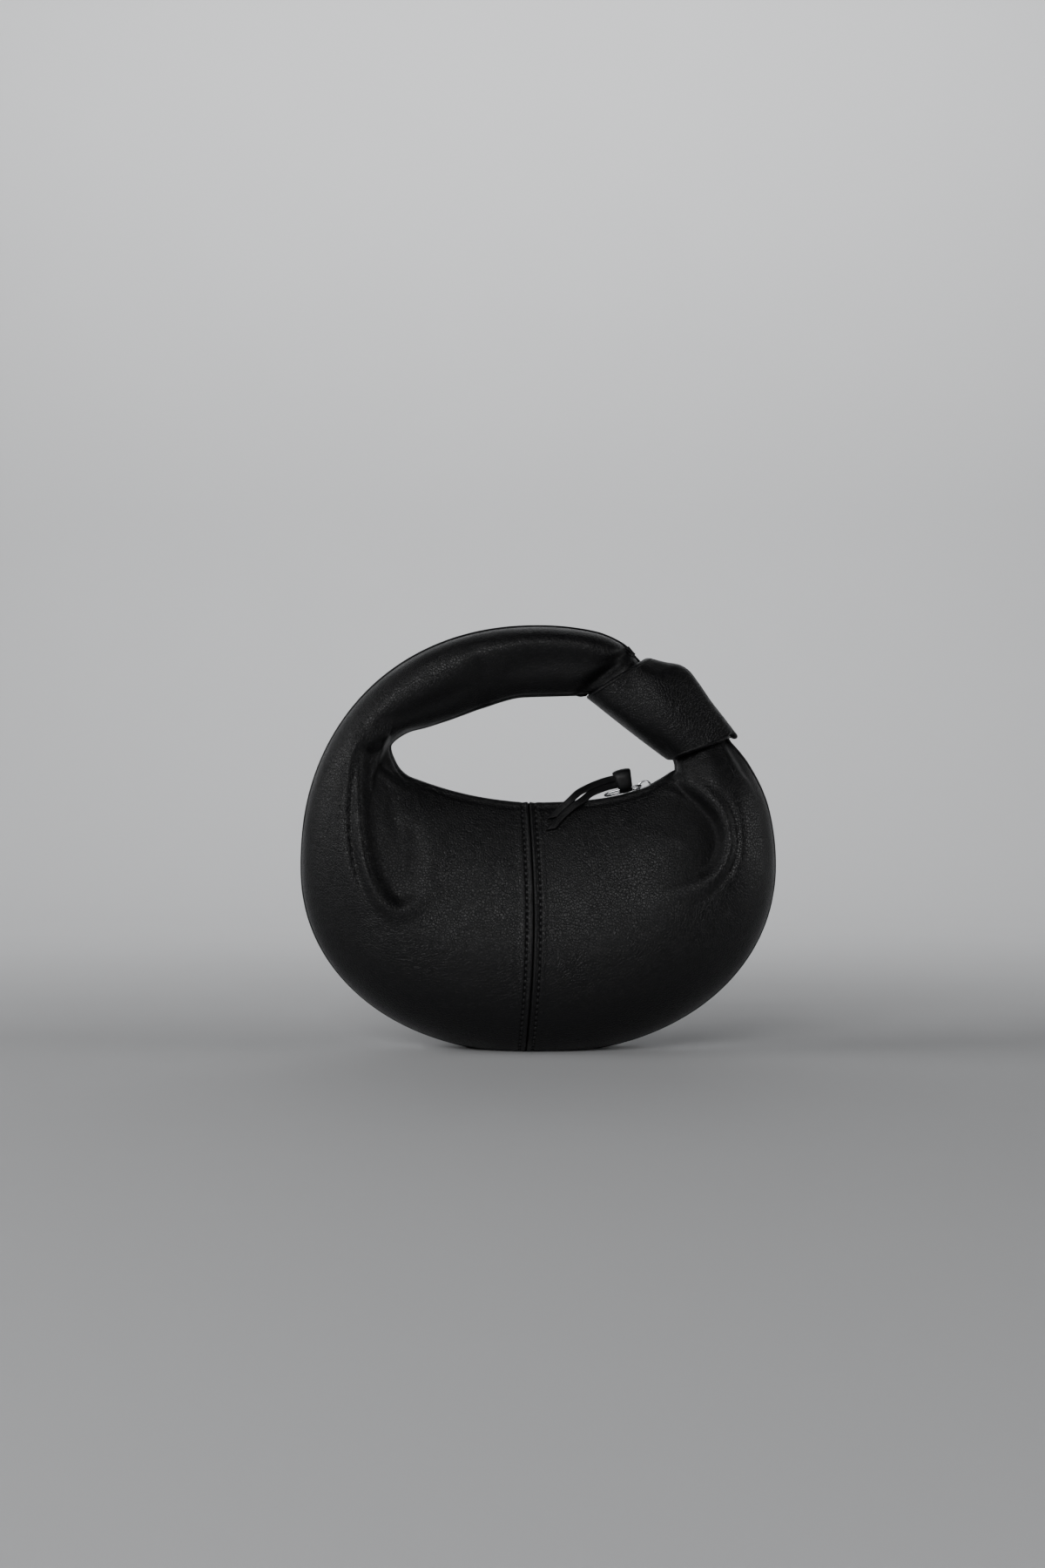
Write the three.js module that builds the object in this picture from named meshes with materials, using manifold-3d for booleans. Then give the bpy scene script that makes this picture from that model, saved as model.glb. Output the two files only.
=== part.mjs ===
// A small black leather bowl bag with a knotted top handle.
// The body and its handle are one ring of leather: wide and full below, where it holds things, and a slim
// strap above, tied in a knot at the upper right. A zip closes the upper edge, and its slider has a leather pull.
// Millimetres, +Z up, the front faces -Y, and the origin is under the middle of the bag on the floor.

import * as THREE from "three";
import { mergeVertices } from "three/addons/utils/BufferGeometryUtils.js";
import Module from "manifold-3d";

const wasm = await Module();
wasm.setup();

// The bag's outline, seen from the front.
const BAG_WIDTH = 250;
const BAG_HEIGHT = 223;
const BAG_DEPTH = 77;
const WAIST_HEIGHT = 97;
const OUTLINE_POWER = { left: 2.15, right: 2.08 };
const SEAT_SINK = 3.5;

// The loop that a hand goes through. Its middle is given in shares of half the width and of the height.
const LOOP_WIDTH = 150.4;
const LOOP_HEIGHT = 56.7;
const LOOP_PLACE = { x: -0.0224, z: 0.7085 };

// The leather, the zipped mouth and what lies between touching pieces.
const LEATHER = 1.8;
const MOUTH_WIDTH = 18;
const FIT_GAP = 0.3;

// The thin edging sewn between the front and back panels.
const EDGING_THICK = 1.2;
const EDGING_PROUD = 0.7;
const EDGING_BITE = 3;

// The knot's wrap. Its two ends are placed in shares of half the width and of the height, and lateral is the
// bearing of each end in degrees.
const KNOT_ENTRY = { x: 0.3232, z: 0.878, lateral: 32.7 };
const KNOT_EXIT = { x: 0.692, z: 0.7108, lateral: 19.8 };
const KNOT_BOW = 5.4;
const KNOT_WIDTH = 37.6;
const KNOT_BELLY = 10.8;
const KNOT_DEPTH = 36;
const KNOT_BELLY_DEPTH = 3.2;
const KNOT_WALL = 2;
const KNOT_PUFF = 1.6;
const KNOT_PUFF_POWER = 0.7;
const KNOT_LOBES = 4;
const KNOT_LOBE_FROM = -10;
const KNOT_LOBE_TO = 72;

// The zip.
const ZIP_DROP = 3;
const ZIP_FROM = 203;
const ZIP_TO = 342;
const TAPE_THICK = 0.9;
const CHAIN_WIDTH = 4.4;
const CHAIN_HEIGHT = 1.4;
const TOOTH_PITCH = 3.2;
const TOOTH_NOTCH = 0.4;

// The slider, its ring and the leather pull.
const SLIDER_TURN = 328;
const SLIDER_LENGTH = 8;
const SLIDER_TAIL_SHARE = 0.84;
const SLIDER_WALL = 1;
const SLIDER_SLACK = 0.45;
const BRIDGE_WIRE = 1.2;
const BRIDGE_RISE = 3.8;
const BRIDGE_LENGTH = 6;
const RING_LENGTH = 21;
const RING_WIDTH = 7.4;
const RING_WIRE = 1.2;
const RING_LEAN = 15;
const PULL_WIDTH = 3.8;
const PULL_THICK = 1.7;
const PULL_SLIT = 0.5;
const PULL_POINT = 3.4;
const PULL_CLEAR = 0.5;
const BAND = { length: 8.4, height: 13, depth: 9, slope: 14, squareness: 0.8 };
const BAND_ON_LINK = { along: 1.84, y: -0.4, up: 4.78 };

// Turns, in degrees round the ring, of the centre seam and of the strap's two ends inside the knot.
const SEAM_TURN = 267.5;
const KNOT_TURN = 48.5;
const KNOT_END = 406.5;

// Turns close to the knot's two edges, where the strap narrows quickly.
const KNOT_EDGE_TURNS = [60.5, 62.6, 64.4, 66, 68, 388, 389.6, 391, 393, 396];

// Sections of the ring, each from the outline to the loop. turn is the place on the outline in degrees from +X.
// tuck is how far the outline is drawn in, as a share of half the width. loopX and loopZ place the inner edge, as
// shares of half the loop. depth is the bulge's share of half the depth, and peak its place on the way in.
// outer and inner are the roundness of the two flanks, and lip is the share of half the mouth left open there.
const SECTIONS = [
  { turn: 47.5, tuck: 0.1, loopX: 0.78, loopZ: 0.42, depth: 0.25, peak: 0.5, outer: 2, inner: 2, lip: 0 },
  { turn: 56, tuck: 0.083, loopX: 0.6, loopZ: 0.78, depth: 0.29, peak: 0.5, outer: 2, inner: 2, lip: 0 },
  { turn: 64, tuck: 0.056, loopX: 0.4, loopZ: 1.04, depth: 0.34, peak: 0.5, outer: 2, inner: 2, lip: 0 },
  { turn: 70, tuck: 0.014, loopX: 0.3, loopZ: 1.01, depth: 0.4, peak: 0.5, outer: 2, inner: 2, lip: 0 },
  { turn: 77, tuck: 0, loopX: 0.2, loopZ: 1.0, depth: 0.43, peak: 0.5, outer: 2, inner: 2, lip: 0 },
  { turn: 92, tuck: 0, loopX: -0.07, loopZ: 0.977, depth: 0.44, peak: 0.5, outer: 2, inner: 2, lip: 0 },
  { turn: 106, tuck: 0, loopX: -0.35, loopZ: 0.78, depth: 0.45, peak: 0.5, outer: 2, inner: 2, lip: 0 },
  { turn: 120, tuck: 0, loopX: -0.57, loopZ: 0.57, depth: 0.48, peak: 0.5, outer: 2, inner: 2, lip: 0 },
  { turn: 134, tuck: 0, loopX: -0.745, loopZ: 0.42, depth: 0.52, peak: 0.5, outer: 2, inner: 2, lip: 0 },
  { turn: 148, tuck: 0, loopX: -0.88, loopZ: 0.32, depth: 0.57, peak: 0.49, outer: 2, inner: 1.95, lip: 0 },
  { turn: 163, tuck: 0, loopX: -1, loopZ: 0.05, depth: 0.63, peak: 0.48, outer: 2, inner: 1.9, lip: 0.02 },
  { turn: 180, tuck: 0, loopX: -0.96, loopZ: -0.26, depth: 0.71, peak: 0.46, outer: 2.05, inner: 1.8, lip: 0.2 },
  { turn: 197, tuck: 0, loopX: -0.89, loopZ: -0.47, depth: 0.8, peak: 0.44, outer: 2.1, inner: 1.7, lip: 0.5 },
  { turn: 212, tuck: 0, loopX: -0.78, loopZ: -0.595, depth: 0.88, peak: 0.42, outer: 2.15, inner: 1.6, lip: 0.72 },
  { turn: 227, tuck: 0, loopX: -0.625, loopZ: -0.734, depth: 0.95, peak: 0.4, outer: 2.2, inner: 1.52, lip: 0.88 },
  { turn: 242, tuck: 0, loopX: -0.423, loopZ: -0.87, depth: 0.985, peak: 0.38, outer: 2.2, inner: 1.5, lip: 0.96 },
  { turn: 256, tuck: 0, loopX: -0.21, loopZ: -0.96, depth: 1, peak: 0.38, outer: 2.2, inner: 1.5, lip: 1 },
  { turn: 267.5, tuck: 0, loopX: -0.03, loopZ: -1, depth: 1, peak: 0.38, outer: 2.2, inner: 1.5, lip: 1 },
  { turn: 284, tuck: 0, loopX: 0.22, loopZ: -0.985, depth: 1, peak: 0.38, outer: 2.2, inner: 1.5, lip: 1 },
  { turn: 298, tuck: 0, loopX: 0.448, loopZ: -0.935, depth: 0.985, peak: 0.38, outer: 2.2, inner: 1.5, lip: 1 },
  { turn: 313, tuck: 0, loopX: 0.614, loopZ: -0.855, depth: 0.95, peak: 0.4, outer: 2.2, inner: 1.52, lip: 0.95 },
  { turn: 328, tuck: 0, loopX: 0.786, loopZ: -0.71, depth: 0.88, peak: 0.42, outer: 2.15, inner: 1.6, lip: 0.84 },
  { turn: 343, tuck: 0, loopX: 0.89, loopZ: -0.56, depth: 0.8, peak: 0.44, outer: 2.1, inner: 1.7, lip: 0.62 },
  { turn: 358, tuck: 0, loopX: 0.97, loopZ: -0.42, depth: 0.7, peak: 0.46, outer: 2.05, inner: 1.8, lip: 0.25 },
  { turn: 372, tuck: 0.004, loopX: 1.0, loopZ: -0.37, depth: 0.6, peak: 0.48, outer: 2, inner: 1.9, lip: 0.02 },
  { turn: 384, tuck: 0.026, loopX: 1.0, loopZ: -0.3, depth: 0.46, peak: 0.5, outer: 2, inner: 2, lip: 0 },
  { turn: 392, tuck: 0.052, loopX: 0.985, loopZ: -0.17, depth: 0.34, peak: 0.5, outer: 2, inner: 2, lip: 0 },
  { turn: 400, tuck: 0.083, loopX: 0.93, loopZ: 0.12, depth: 0.29, peak: 0.5, outer: 2, inner: 2, lip: 0 },
  { turn: 407.5, tuck: 0.1, loopX: 0.78, loopZ: 0.42, depth: 0.25, peak: 0.5, outer: 2, inner: 2, lip: 0 },
];

// Folds pressed into the panels: the left pocket's and then the right one's. path runs along the crest in shares of half the width and of the height, with the
// strength there. drop is how far the leather falls away beside the crest, on the left of the way the path runs
// where side is 1, as a share of half the depth. edge and reach are how soon it falls and how far it stays down,
// swell is the crest's own rise and furrow the shallow valley behind it, all as shares of half the width or depth.
const FOLDS = [
  {
    side: 1,
    drop: 0.31,
    edge: 0.072,
    reach: 0.26,
    swell: 0.05,
    furrow: 0.05,
    furrowAt: 0.1,
    path: [
      { x: -0.46, z: 0.76, strength: 0 },
      { x: -0.54, z: 0.752, strength: 0.3 },
      { x: -0.64, z: 0.738, strength: 0.7 },
      { x: -0.742, z: 0.715, strength: 0.95 },
      { x: -0.76, z: 0.655, strength: 1 },
      { x: -0.764, z: 0.574, strength: 1 },
      { x: -0.756, z: 0.492, strength: 1 },
      { x: -0.731, z: 0.419, strength: 0.9 },
      { x: -0.683, z: 0.349, strength: 0.7 },
      { x: -0.62, z: 0.312, strength: 0.45 },
      { x: -0.539, z: 0.318, strength: 0.2 },
      { x: -0.435, z: 0.357, strength: 0 },
    ],
  },
  {
    side: -1,
    drop: 0.27,
    edge: 0.068,
    reach: 0.22,
    swell: 0.05,
    furrow: 0.05,
    furrowAt: 0.1,
    path: [
      { x: 0.52, z: 0.71, strength: 0 },
      { x: 0.575, z: 0.668, strength: 0.5 },
      { x: 0.635, z: 0.62, strength: 0.9 },
      { x: 0.716, z: 0.583, strength: 1 },
      { x: 0.79, z: 0.541, strength: 1 },
      { x: 0.827, z: 0.498, strength: 0.95 },
      { x: 0.823, z: 0.461, strength: 0.8 },
      { x: 0.79, z: 0.421, strength: 0.6 },
      { x: 0.716, z: 0.388, strength: 0.35 },
      { x: 0.616, z: 0.364, strength: 0.15 },
      { x: 0.487, z: 0.347, strength: 0 },
    ],
  },
];
const BACK_FOLD_SHARE = 0.6;

// A fold fades out towards the seams, and always leaves this much over the middle plane.
const FOLD_FADE = 2;
const FOLD_LEAST = LEATHER + FIT_GAP;

// How finely the panels are cut into faces: steps round the ring for each side of the seam, and across it.
const FRONT_GRID = { left: 38, right: 26, across: 18 };
const BACK_GRID = { left: 28, right: 18, across: 10 };
const FINE_STEPS = 5;
const BEND_WEIGHT = 14;
const WAY_TURNS = [-7, -3.5, 0, 3.5, 7];
const FOLD_STEPS = 5;
const FOLD_BLEND = 5;
const EDGING_STEPS = 56;
const EDGING_CLEAR = 0.5;
const ZIP_TAPE_STEPS = 26;
const TAIL_STEPS = 10;
const LINK_POINTS = 24;
const LINK_SIDES = 7;
const BAND_SIDES = 20;
const KNOT_SIDES = 28;
const SLOPE_STEP = 1e-3;
const TURN_STEP = 0.5;
const ZIP_LINE_STEP = 3;
const BRIDGE_STEPS = 14;
const BRIDGE_SHOULDER = 0.5;

// Stations of the band: the place from its middle to its edges, and the size there.
const BAND_STATIONS = [
  [-1, 0.72],
  [-0.92, 0.94],
  [0, 1],
  [0.92, 0.9],
  [1, 0.68],
];

// Stations of the knot's wrap: the place along it, how far its section is drawn in, and how deep its folds are.
const KNOT_STATIONS = [
  [0, 1.7, 0],
  [0.015, 0.5, 0.4],
  [0.07, 0, 0.8],
  [0.2, 0, 1],
  [0.35, 0, 1],
  [0.5, 0, 1],
  [0.65, 0, 1],
  [0.8, 0, 1],
  [0.93, 0, 0.8],
  [0.985, 0.5, 0.4],
  [1, 1.7, 0],
];

// Places along the knot's hollow, which runs out at both of its ends.
const KNOT_HOLLOW = [-0.1, 0, 0.25, 0.5, 0.75, 1, 1.1];

// Names of the finishes, each with its colour, roughness and metalness.
const FINISHES = {
  leather: { color: 0x17171a, roughness: 0.48, metalness: 0 },
  edging: { color: 0x0f0f11, roughness: 0.6, metalness: 0 },
  zipTape: { color: 0x121214, roughness: 0.9, metalness: 0 },
  metal: { color: 0xc9cace, roughness: 0.25, metalness: 1 },
};

// A value that follows a table's column smoothly and never overshoots its rows.
function columnAt(rows, column, turn) {
  const last = rows.length - 1;
  let k = 0;
  while (k < last - 1 && turn > rows[k + 1].turn) k += 1;
  const rise = (i) => (rows[i + 1][column] - rows[i][column]) / (rows[i + 1].turn - rows[i].turn);
  const slope = (i) => {
    if (i === 0) return rise(0);
    if (i === last) return rise(last - 1);
    const before = rise(i - 1);
    const after = rise(i);
    return before * after <= 0 ? 0 : (2 * before * after) / (before + after);
  };
  const span = rows[k + 1].turn - rows[k].turn;
  const t = (turn - rows[k].turn) / span;
  const a = rows[k][column];
  const b = rows[k + 1][column];
  return (
    a * (1 + 2 * t) * (1 - t) ** 2 +
    b * t ** 2 * (3 - 2 * t) +
    span * slope(k) * t * (1 - t) ** 2 -
    span * slope(k + 1) * t ** 2 * (1 - t)
  );
}

// A point of the outline, drawn in by a length.
function outlineAt(turn, tuck) {
  const angle = THREE.MathUtils.degToRad(turn);
  const power = Math.cos(angle) < 0 ? OUTLINE_POWER.left : OUTLINE_POWER.right;
  const share = (v) => Math.sign(v) * Math.abs(v) ** (2 / power);
  const up = Math.sin(angle) > 0 ? BAG_HEIGHT - WAIST_HEIGHT : WAIST_HEIGHT + SEAT_SINK;
  return new THREE.Vector2(
    (BAG_WIDTH / 2 - tuck) * share(Math.cos(angle)),
    WAIST_HEIGHT + (up - tuck) * share(Math.sin(angle)),
  );
}

// One section of the ring: its two ends in the XZ plane and the numbers that shape it.
function sectionAt(turn) {
  const row = {};
  for (const column of Object.keys(SECTIONS[0])) row[column] = columnAt(SECTIONS, column, turn);
  const lip = (Math.max(row.lip, 0) * MOUTH_WIDTH) / 2;
  const depth = (row.depth * BAG_DEPTH) / 2 - EDGING_THICK / 2 - FIT_GAP;
  const out = outlineAt(turn, (row.tuck * BAG_WIDTH) / 2);
  const loop = new THREE.Vector2(
    (LOOP_PLACE.x * BAG_WIDTH) / 2 + (row.loopX * LOOP_WIDTH) / 2,
    LOOP_PLACE.z * BAG_HEIGHT + (row.loopZ * LOOP_HEIGHT) / 2,
  );
  const close = Math.PI - Math.asin(Math.min(lip / depth, 1) ** (row.inner / 2));
  return { ...row, out, loop, depth, close };
}

// Each fold's path as short straight steps, with the strength at each of its points.
const foldPaths = FOLDS.map((fold) => {
  const points = fold.path.map((p) => new THREE.Vector3((p.x * BAG_WIDTH) / 2, p.z * BAG_HEIGHT, p.strength));
  return new THREE.CatmullRomCurve3(points).getPoints((points.length - 1) * FOLD_STEPS);
});

// Where a place lies beside a fold: how far off, positive on the falling side, and how strong the fold is there.
// The strength blends the parts of the path that are about equally near.
function besideFold(fold, path, x, z) {
  const parts = [];
  for (let k = 0; k + 1 < path.length; k += 1) {
    const [a, b] = [path[k], path[k + 1]];
    const [dx, dz] = [b.x - a.x, b.y - a.y];
    const t = THREE.MathUtils.clamp(((x - a.x) * dx + (z - a.y) * dz) / (dx * dx + dz * dz), 0, 1);
    const away = Math.hypot(x - a.x - t * dx, z - a.y - t * dz);
    const left = Math.sign(dx * (z - a.y) - dz * (x - a.x));
    parts.push({ away, side: left * fold.side, strength: a.z + t * (b.z - a.z) });
  }
  const near = parts.reduce((least, part) => (part.away < least.away ? part : least));
  const weights = parts.map((part) => Math.exp((near.away - part.away) / FOLD_BLEND));
  const total = weights.reduce((sum, weight) => sum + weight, 0);
  const strength = parts.reduce((sum, part, k) => sum + part.strength * weights[k], 0) / total;
  return { beside: near.side * near.away, strength };
}

// How far the folds push the leather in at a place on the panel.
function foldDropAt(x, z) {
  let drop = 0;
  FOLDS.forEach((fold, i) => {
    const { beside, strength } = besideFold(fold, foldPaths[i], x, z);
    const across = (share) => (beside / ((share * BAG_WIDTH) / 2)) ** 2;
    const behind = ((beside + (fold.furrowAt * BAG_WIDTH) / 2) / ((fold.edge * BAG_WIDTH) / 2)) ** 2;
    const fall = beside > 0 ? fold.drop * (1 - Math.exp(-across(fold.edge))) * Math.exp(-across(fold.reach)) : 0;
    const crest = fold.swell * Math.exp(-across(fold.edge)) - fold.furrow * Math.exp(-behind);
    drop += (strength * (fall - crest) * BAG_DEPTH) / 2;
  });
  return drop;
}

// A point of the leather's outside. way is 0 at the edging and 1 at the loop, and face is -1 in front and 1 behind.
function leatherAt(turn, way, face) {
  const s = sectionAt(turn);
  const angle = way * s.close;
  const outerFlank = angle < Math.PI / 2;
  const power = 2 / (outerFlank ? s.outer : s.inner);
  const round = Math.abs(Math.cos(angle)) ** power;
  const end = Math.abs(Math.cos(s.close)) ** power;
  const share = outerFlank ? s.peak * (1 - round) : s.peak + ((1 - s.peak) * round) / end;
  const seam = THREE.MathUtils.lerp(EDGING_THICK, 0, way) / 2 + FIT_GAP * (1 - way / 2);
  const rise = Math.max(Math.sin(angle), 0) ** power;
  const [x, z] = [THREE.MathUtils.lerp(s.out.x, s.loop.x, share), THREE.MathUtils.lerp(s.out.y, s.loop.y, share)];
  const fromEdge = outerFlank ? rise : rise - (s.lip * MOUTH_WIDTH) / 2 / s.depth;
  const shown = (face < 0 ? 1 : BACK_FOLD_SHARE) * THREE.MathUtils.clamp(fromEdge * FOLD_FADE, 0, 1);
  const bulge = s.depth * rise;
  const lift = seam + Math.max(bulge - foldDropAt(x, z) * shown, Math.min(bulge, FOLD_LEAST));
  return new THREE.Vector3(x, face * lift, Math.max(z, 0));
}

// The direction out of the leather at a point.
function leatherNormalAt(turn, way, face) {
  const span = SLOPE_STEP * 360;
  const round = leatherAt(turn + span, way, face).sub(leatherAt(turn - span, way, face));
  const low = Math.max(way - SLOPE_STEP, 0);
  const high = Math.min(way + SLOPE_STEP, 1);
  const across = leatherAt(turn, high, face).sub(leatherAt(turn, low, face));
  return across.cross(round).multiplyScalar(face).normalize();
}

// A closed mesh from rings of points, joined ring to ring, with its first and last ring capped.
function loft(rings) {
  const sides = rings[0].length;
  const positions = rings.flat().flatMap((p) => [p.x, p.y, p.z]);
  const faces = [];
  for (let i = 0; i + 1 < rings.length; i += 1) {
    for (let j = 0; j < sides; j += 1) {
      const [a, b] = [i * sides + j, i * sides + ((j + 1) % sides)];
      faces.push(a, b, b + sides, a, b + sides, a + sides);
    }
  }
  const lastRing = (rings.length - 1) * sides;
  for (let j = 1; j + 1 < sides; j += 1) {
    faces.push(0, j + 1, j, lastRing, lastRing + j, lastRing + j + 1);
  }
  const geometry = new THREE.BufferGeometry();
  geometry.setAttribute("position", new THREE.Float32BufferAttribute(positions, 3));
  geometry.setIndex(faces);
  return facingOut(geometry);
}

// A closed band of leather from a grid of outside points and the grid of points under it.
function wall(outside, inside) {
  const [rows, columns] = [outside.length, outside[0].length];
  const positions = [...outside.flat(), ...inside.flat()].flatMap((p) => [p.x, p.y, p.z]);
  const top = (i, j) => i * columns + j;
  const under = (i, j) => rows * columns + i * columns + j;
  const faces = [];
  const quad = (a, b, c, d) => faces.push(a, b, c, a, c, d);
  for (let i = 0; i + 1 < rows; i += 1) {
    for (let j = 0; j + 1 < columns; j += 1) {
      quad(top(i, j), top(i + 1, j), top(i + 1, j + 1), top(i, j + 1));
      quad(under(i, j), under(i, j + 1), under(i + 1, j + 1), under(i + 1, j));
    }
    quad(top(i + 1, 0), top(i, 0), under(i, 0), under(i + 1, 0));
    quad(top(i, columns - 1), top(i + 1, columns - 1), under(i + 1, columns - 1), under(i, columns - 1));
  }
  for (let j = 0; j + 1 < columns; j += 1) {
    quad(top(0, j), top(0, j + 1), under(0, j + 1), under(0, j));
    quad(top(rows - 1, j + 1), top(rows - 1, j), under(rows - 1, j), under(rows - 1, j + 1));
  }
  const geometry = new THREE.BufferGeometry();
  geometry.setAttribute("position", new THREE.Float32BufferAttribute(positions, 3));
  geometry.setIndex(faces);
  return facingOut(geometry);
}

// The same closed mesh with its faces turned outwards if they pointed in.
function facingOut(geometry) {
  const at = geometry.getAttribute("position");
  const index = geometry.getIndex().array;
  const corner = (k) => new THREE.Vector3().fromBufferAttribute(at, index[k]);
  let volume = 0;
  for (let k = 0; k < index.length; k += 3) volume += corner(k).dot(corner(k + 1).cross(corner(k + 2)));
  if (volume < 0) for (let k = 0; k < index.length; k += 3) [index[k], index[k + 1]] = [index[k + 1], index[k]];
  return geometry;
}

// A geometry as a solid that can be joined and cut, and back.
function solidOf(geometry) {
  const bare = geometry.clone();
  bare.deleteAttribute("normal");
  bare.deleteAttribute("uv");
  const merged = mergeVertices(bare, 1e-4);
  return new wasm.Manifold(
    new wasm.Mesh({
      numProp: 3,
      vertProperties: merged.getAttribute("position").array,
      triVerts: new Uint32Array(merged.getIndex().array),
    }),
  );
}

function geometryOf(solid) {
  const mesh = solid.getMesh();
  const geometry = new THREE.BufferGeometry();
  geometry.setAttribute("position", new THREE.BufferAttribute(mesh.vertProperties, 3));
  geometry.setIndex(new THREE.BufferAttribute(mesh.triVerts, 1));
  return geometry;
}

// A named piece with its own finish.
function piece(name, geometry, finish) {
  geometry.computeVertexNormals();
  const mesh = new THREE.Mesh(geometry, new THREE.MeshStandardMaterial({ ...FINISHES[finish], name: finish }));
  mesh.name = name;
  return mesh;
}

// The turns at which a panel is cut: even steps, with those at the knot's edges added.
function cutsBetween(fromTurn, toTurn, steps) {
  const cuts = KNOT_EDGE_TURNS.filter((turn) => turn > fromTurn && turn < toTurn);
  for (let i = 0; i <= steps; i += 1) {
    const turn = THREE.MathUtils.lerp(fromTurn, toTurn, i / steps);
    if (KNOT_EDGE_TURNS.every((edge) => Math.abs(edge - turn) > 1)) cuts.push(turn);
  }
  return cuts.sort((a, b) => a - b);
}

// Places across a section, closer together where the leather bends most, evened out with the sections beside it.
function waysAcross(turn, face, steps) {
  const sets = WAY_TURNS.map((step) => waysAt(turn + step, face, steps));
  return sets[0].map((_, j) => sets.reduce((sum, ways) => sum + ways[j], 0) / sets.length);
}

function waysAt(turn, face, steps) {
  const fine = steps * FINE_STEPS;
  const points = Array.from({ length: fine + 1 }, (_, i) => leatherAt(turn, i / fine, face));
  const reached = [0];
  for (let i = 1; i <= fine; i += 1) {
    const step = points[i].clone().sub(points[i - 1]);
    const next = points[Math.min(i + 1, fine)].clone().sub(points[Math.min(i, fine - 1)]);
    reached.push(reached[i - 1] + step.length() + BEND_WEIGHT * step.angleTo(next));
  }
  return Array.from({ length: steps + 1 }, (_, j) => {
    const aim = (reached[fine] * j) / steps;
    const i = Math.min(Math.max(reached.findIndex((r) => r >= aim) - 1, 0), fine - 1);
    return j === steps ? 1 : (i + (aim - reached[i]) / (reached[i + 1] - reached[i])) / fine;
  });
}

// One leather panel: half of the front or of the back, with its half of the strap.
function panel(fromTurn, toTurn, face, roundSteps, acrossSteps) {
  const outside = [];
  const inside = [];
  for (const turn of cutsBetween(fromTurn, toTurn, roundSteps)) {
    const ways = waysAcross(turn, face, acrossSteps);
    const inward = Math.sign(toTurn - turn) - Math.sign(turn - fromTurn);
    const [ahead, behind] = [turn + TURN_STEP, turn - TURN_STEP].map((place) => leatherAt(place, 0.5, face));
    const clear = ahead.sub(behind).setY(0).normalize().multiplyScalar((inward * FIT_GAP) / 2);
    const [outsideRow, insideRow] = [[], []];
    for (const way of ways) {
      const point = leatherAt(turn, way, face).add(clear);
      outsideRow.push(point);
      insideRow.push(leatherNormalAt(turn, way, face).multiplyScalar(-LEATHER).add(point));
    }
    outside.push(outsideRow);
    inside.push(insideRow);
  }
  return wall(outside, inside);
}

// The thin edging between the panels, from one side of the knot down round the bag to the other.
function edging(fromTurn, toTurn) {
  const rings = [];
  for (let i = 0; i <= EDGING_STEPS; i += 1) {
    const turn = THREE.MathUtils.lerp(fromTurn, toTurn, i / EDGING_STEPS);
    const { out, loop } = sectionAt(turn);
    const way = loop.clone().sub(out).normalize();
    const outer = out.clone().addScaledVector(way, -EDGING_PROUD);
    const inner = out.clone().addScaledVector(way, EDGING_BITE);
    const corner = (p, face, least) => new THREE.Vector3(p.x, (face * EDGING_THICK) / 2, Math.max(p.y, least));
    const [low, high] = [0, EDGING_BITE];
    rings.push([corner(outer, -1, low), corner(outer, 1, low), corner(inner, 1, high), corner(inner, -1, high)]);
  }
  return loft(rings);
}

// The middle line of the zip at a turn, below the mouth's edge, with the half width free between the lips.
function zipLineAt(turn) {
  const { out, loop, lip } = sectionAt(turn);
  const point = loop.clone().addScaledVector(out.clone().sub(loop).normalize(), ZIP_DROP);
  return { x: point.x, z: point.y, half: (lip * MOUTH_WIDTH) / 2 - FIT_GAP };
}

// A flat bar that follows the zip. shape gives the half width and the top's height at each step.
function zipBar(fromTurn, toTurn, steps, base, shape) {
  const rings = [];
  for (let i = 0; i <= steps; i += 1) {
    const line = zipLineAt(THREE.MathUtils.lerp(fromTurn, toTurn, i / steps));
    const { half, top } = shape(i, line);
    const at = (y, up) => new THREE.Vector3(line.x, y, line.z + up);
    rings.push([at(-half, base), at(half, base), at(half, top), at(-half, top)]);
  }
  return loft(rings);
}

function zipTape() {
  return zipBar(ZIP_FROM, ZIP_TO, ZIP_TAPE_STEPS, -TAPE_THICK, (i, line) => ({ half: line.half, top: 0 }));
}

// The two rows of teeth, closed: a bar with a notch on both sides between each tooth and the next.
function zipChain() {
  let length = 0;
  for (let turn = ZIP_FROM; turn < ZIP_TO; turn += 1) {
    const [a, b] = [zipLineAt(turn), zipLineAt(turn + 1)];
    length += Math.hypot(b.x - a.x, b.z - a.z);
  }
  const steps = 2 * Math.round(length / TOOTH_PITCH);
  return zipBar(ZIP_FROM + 1, ZIP_TO - 1, steps, FIT_GAP, (i) => {
    const notch = (i % 2) * TOOTH_NOTCH;
    return { half: CHAIN_WIDTH / 2 - notch, top: FIT_GAP + CHAIN_HEIGHT - notch };
  });
}

const SLIDER_TOP = FIT_GAP + CHAIN_HEIGHT + SLIDER_SLACK + SLIDER_WALL;

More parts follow.
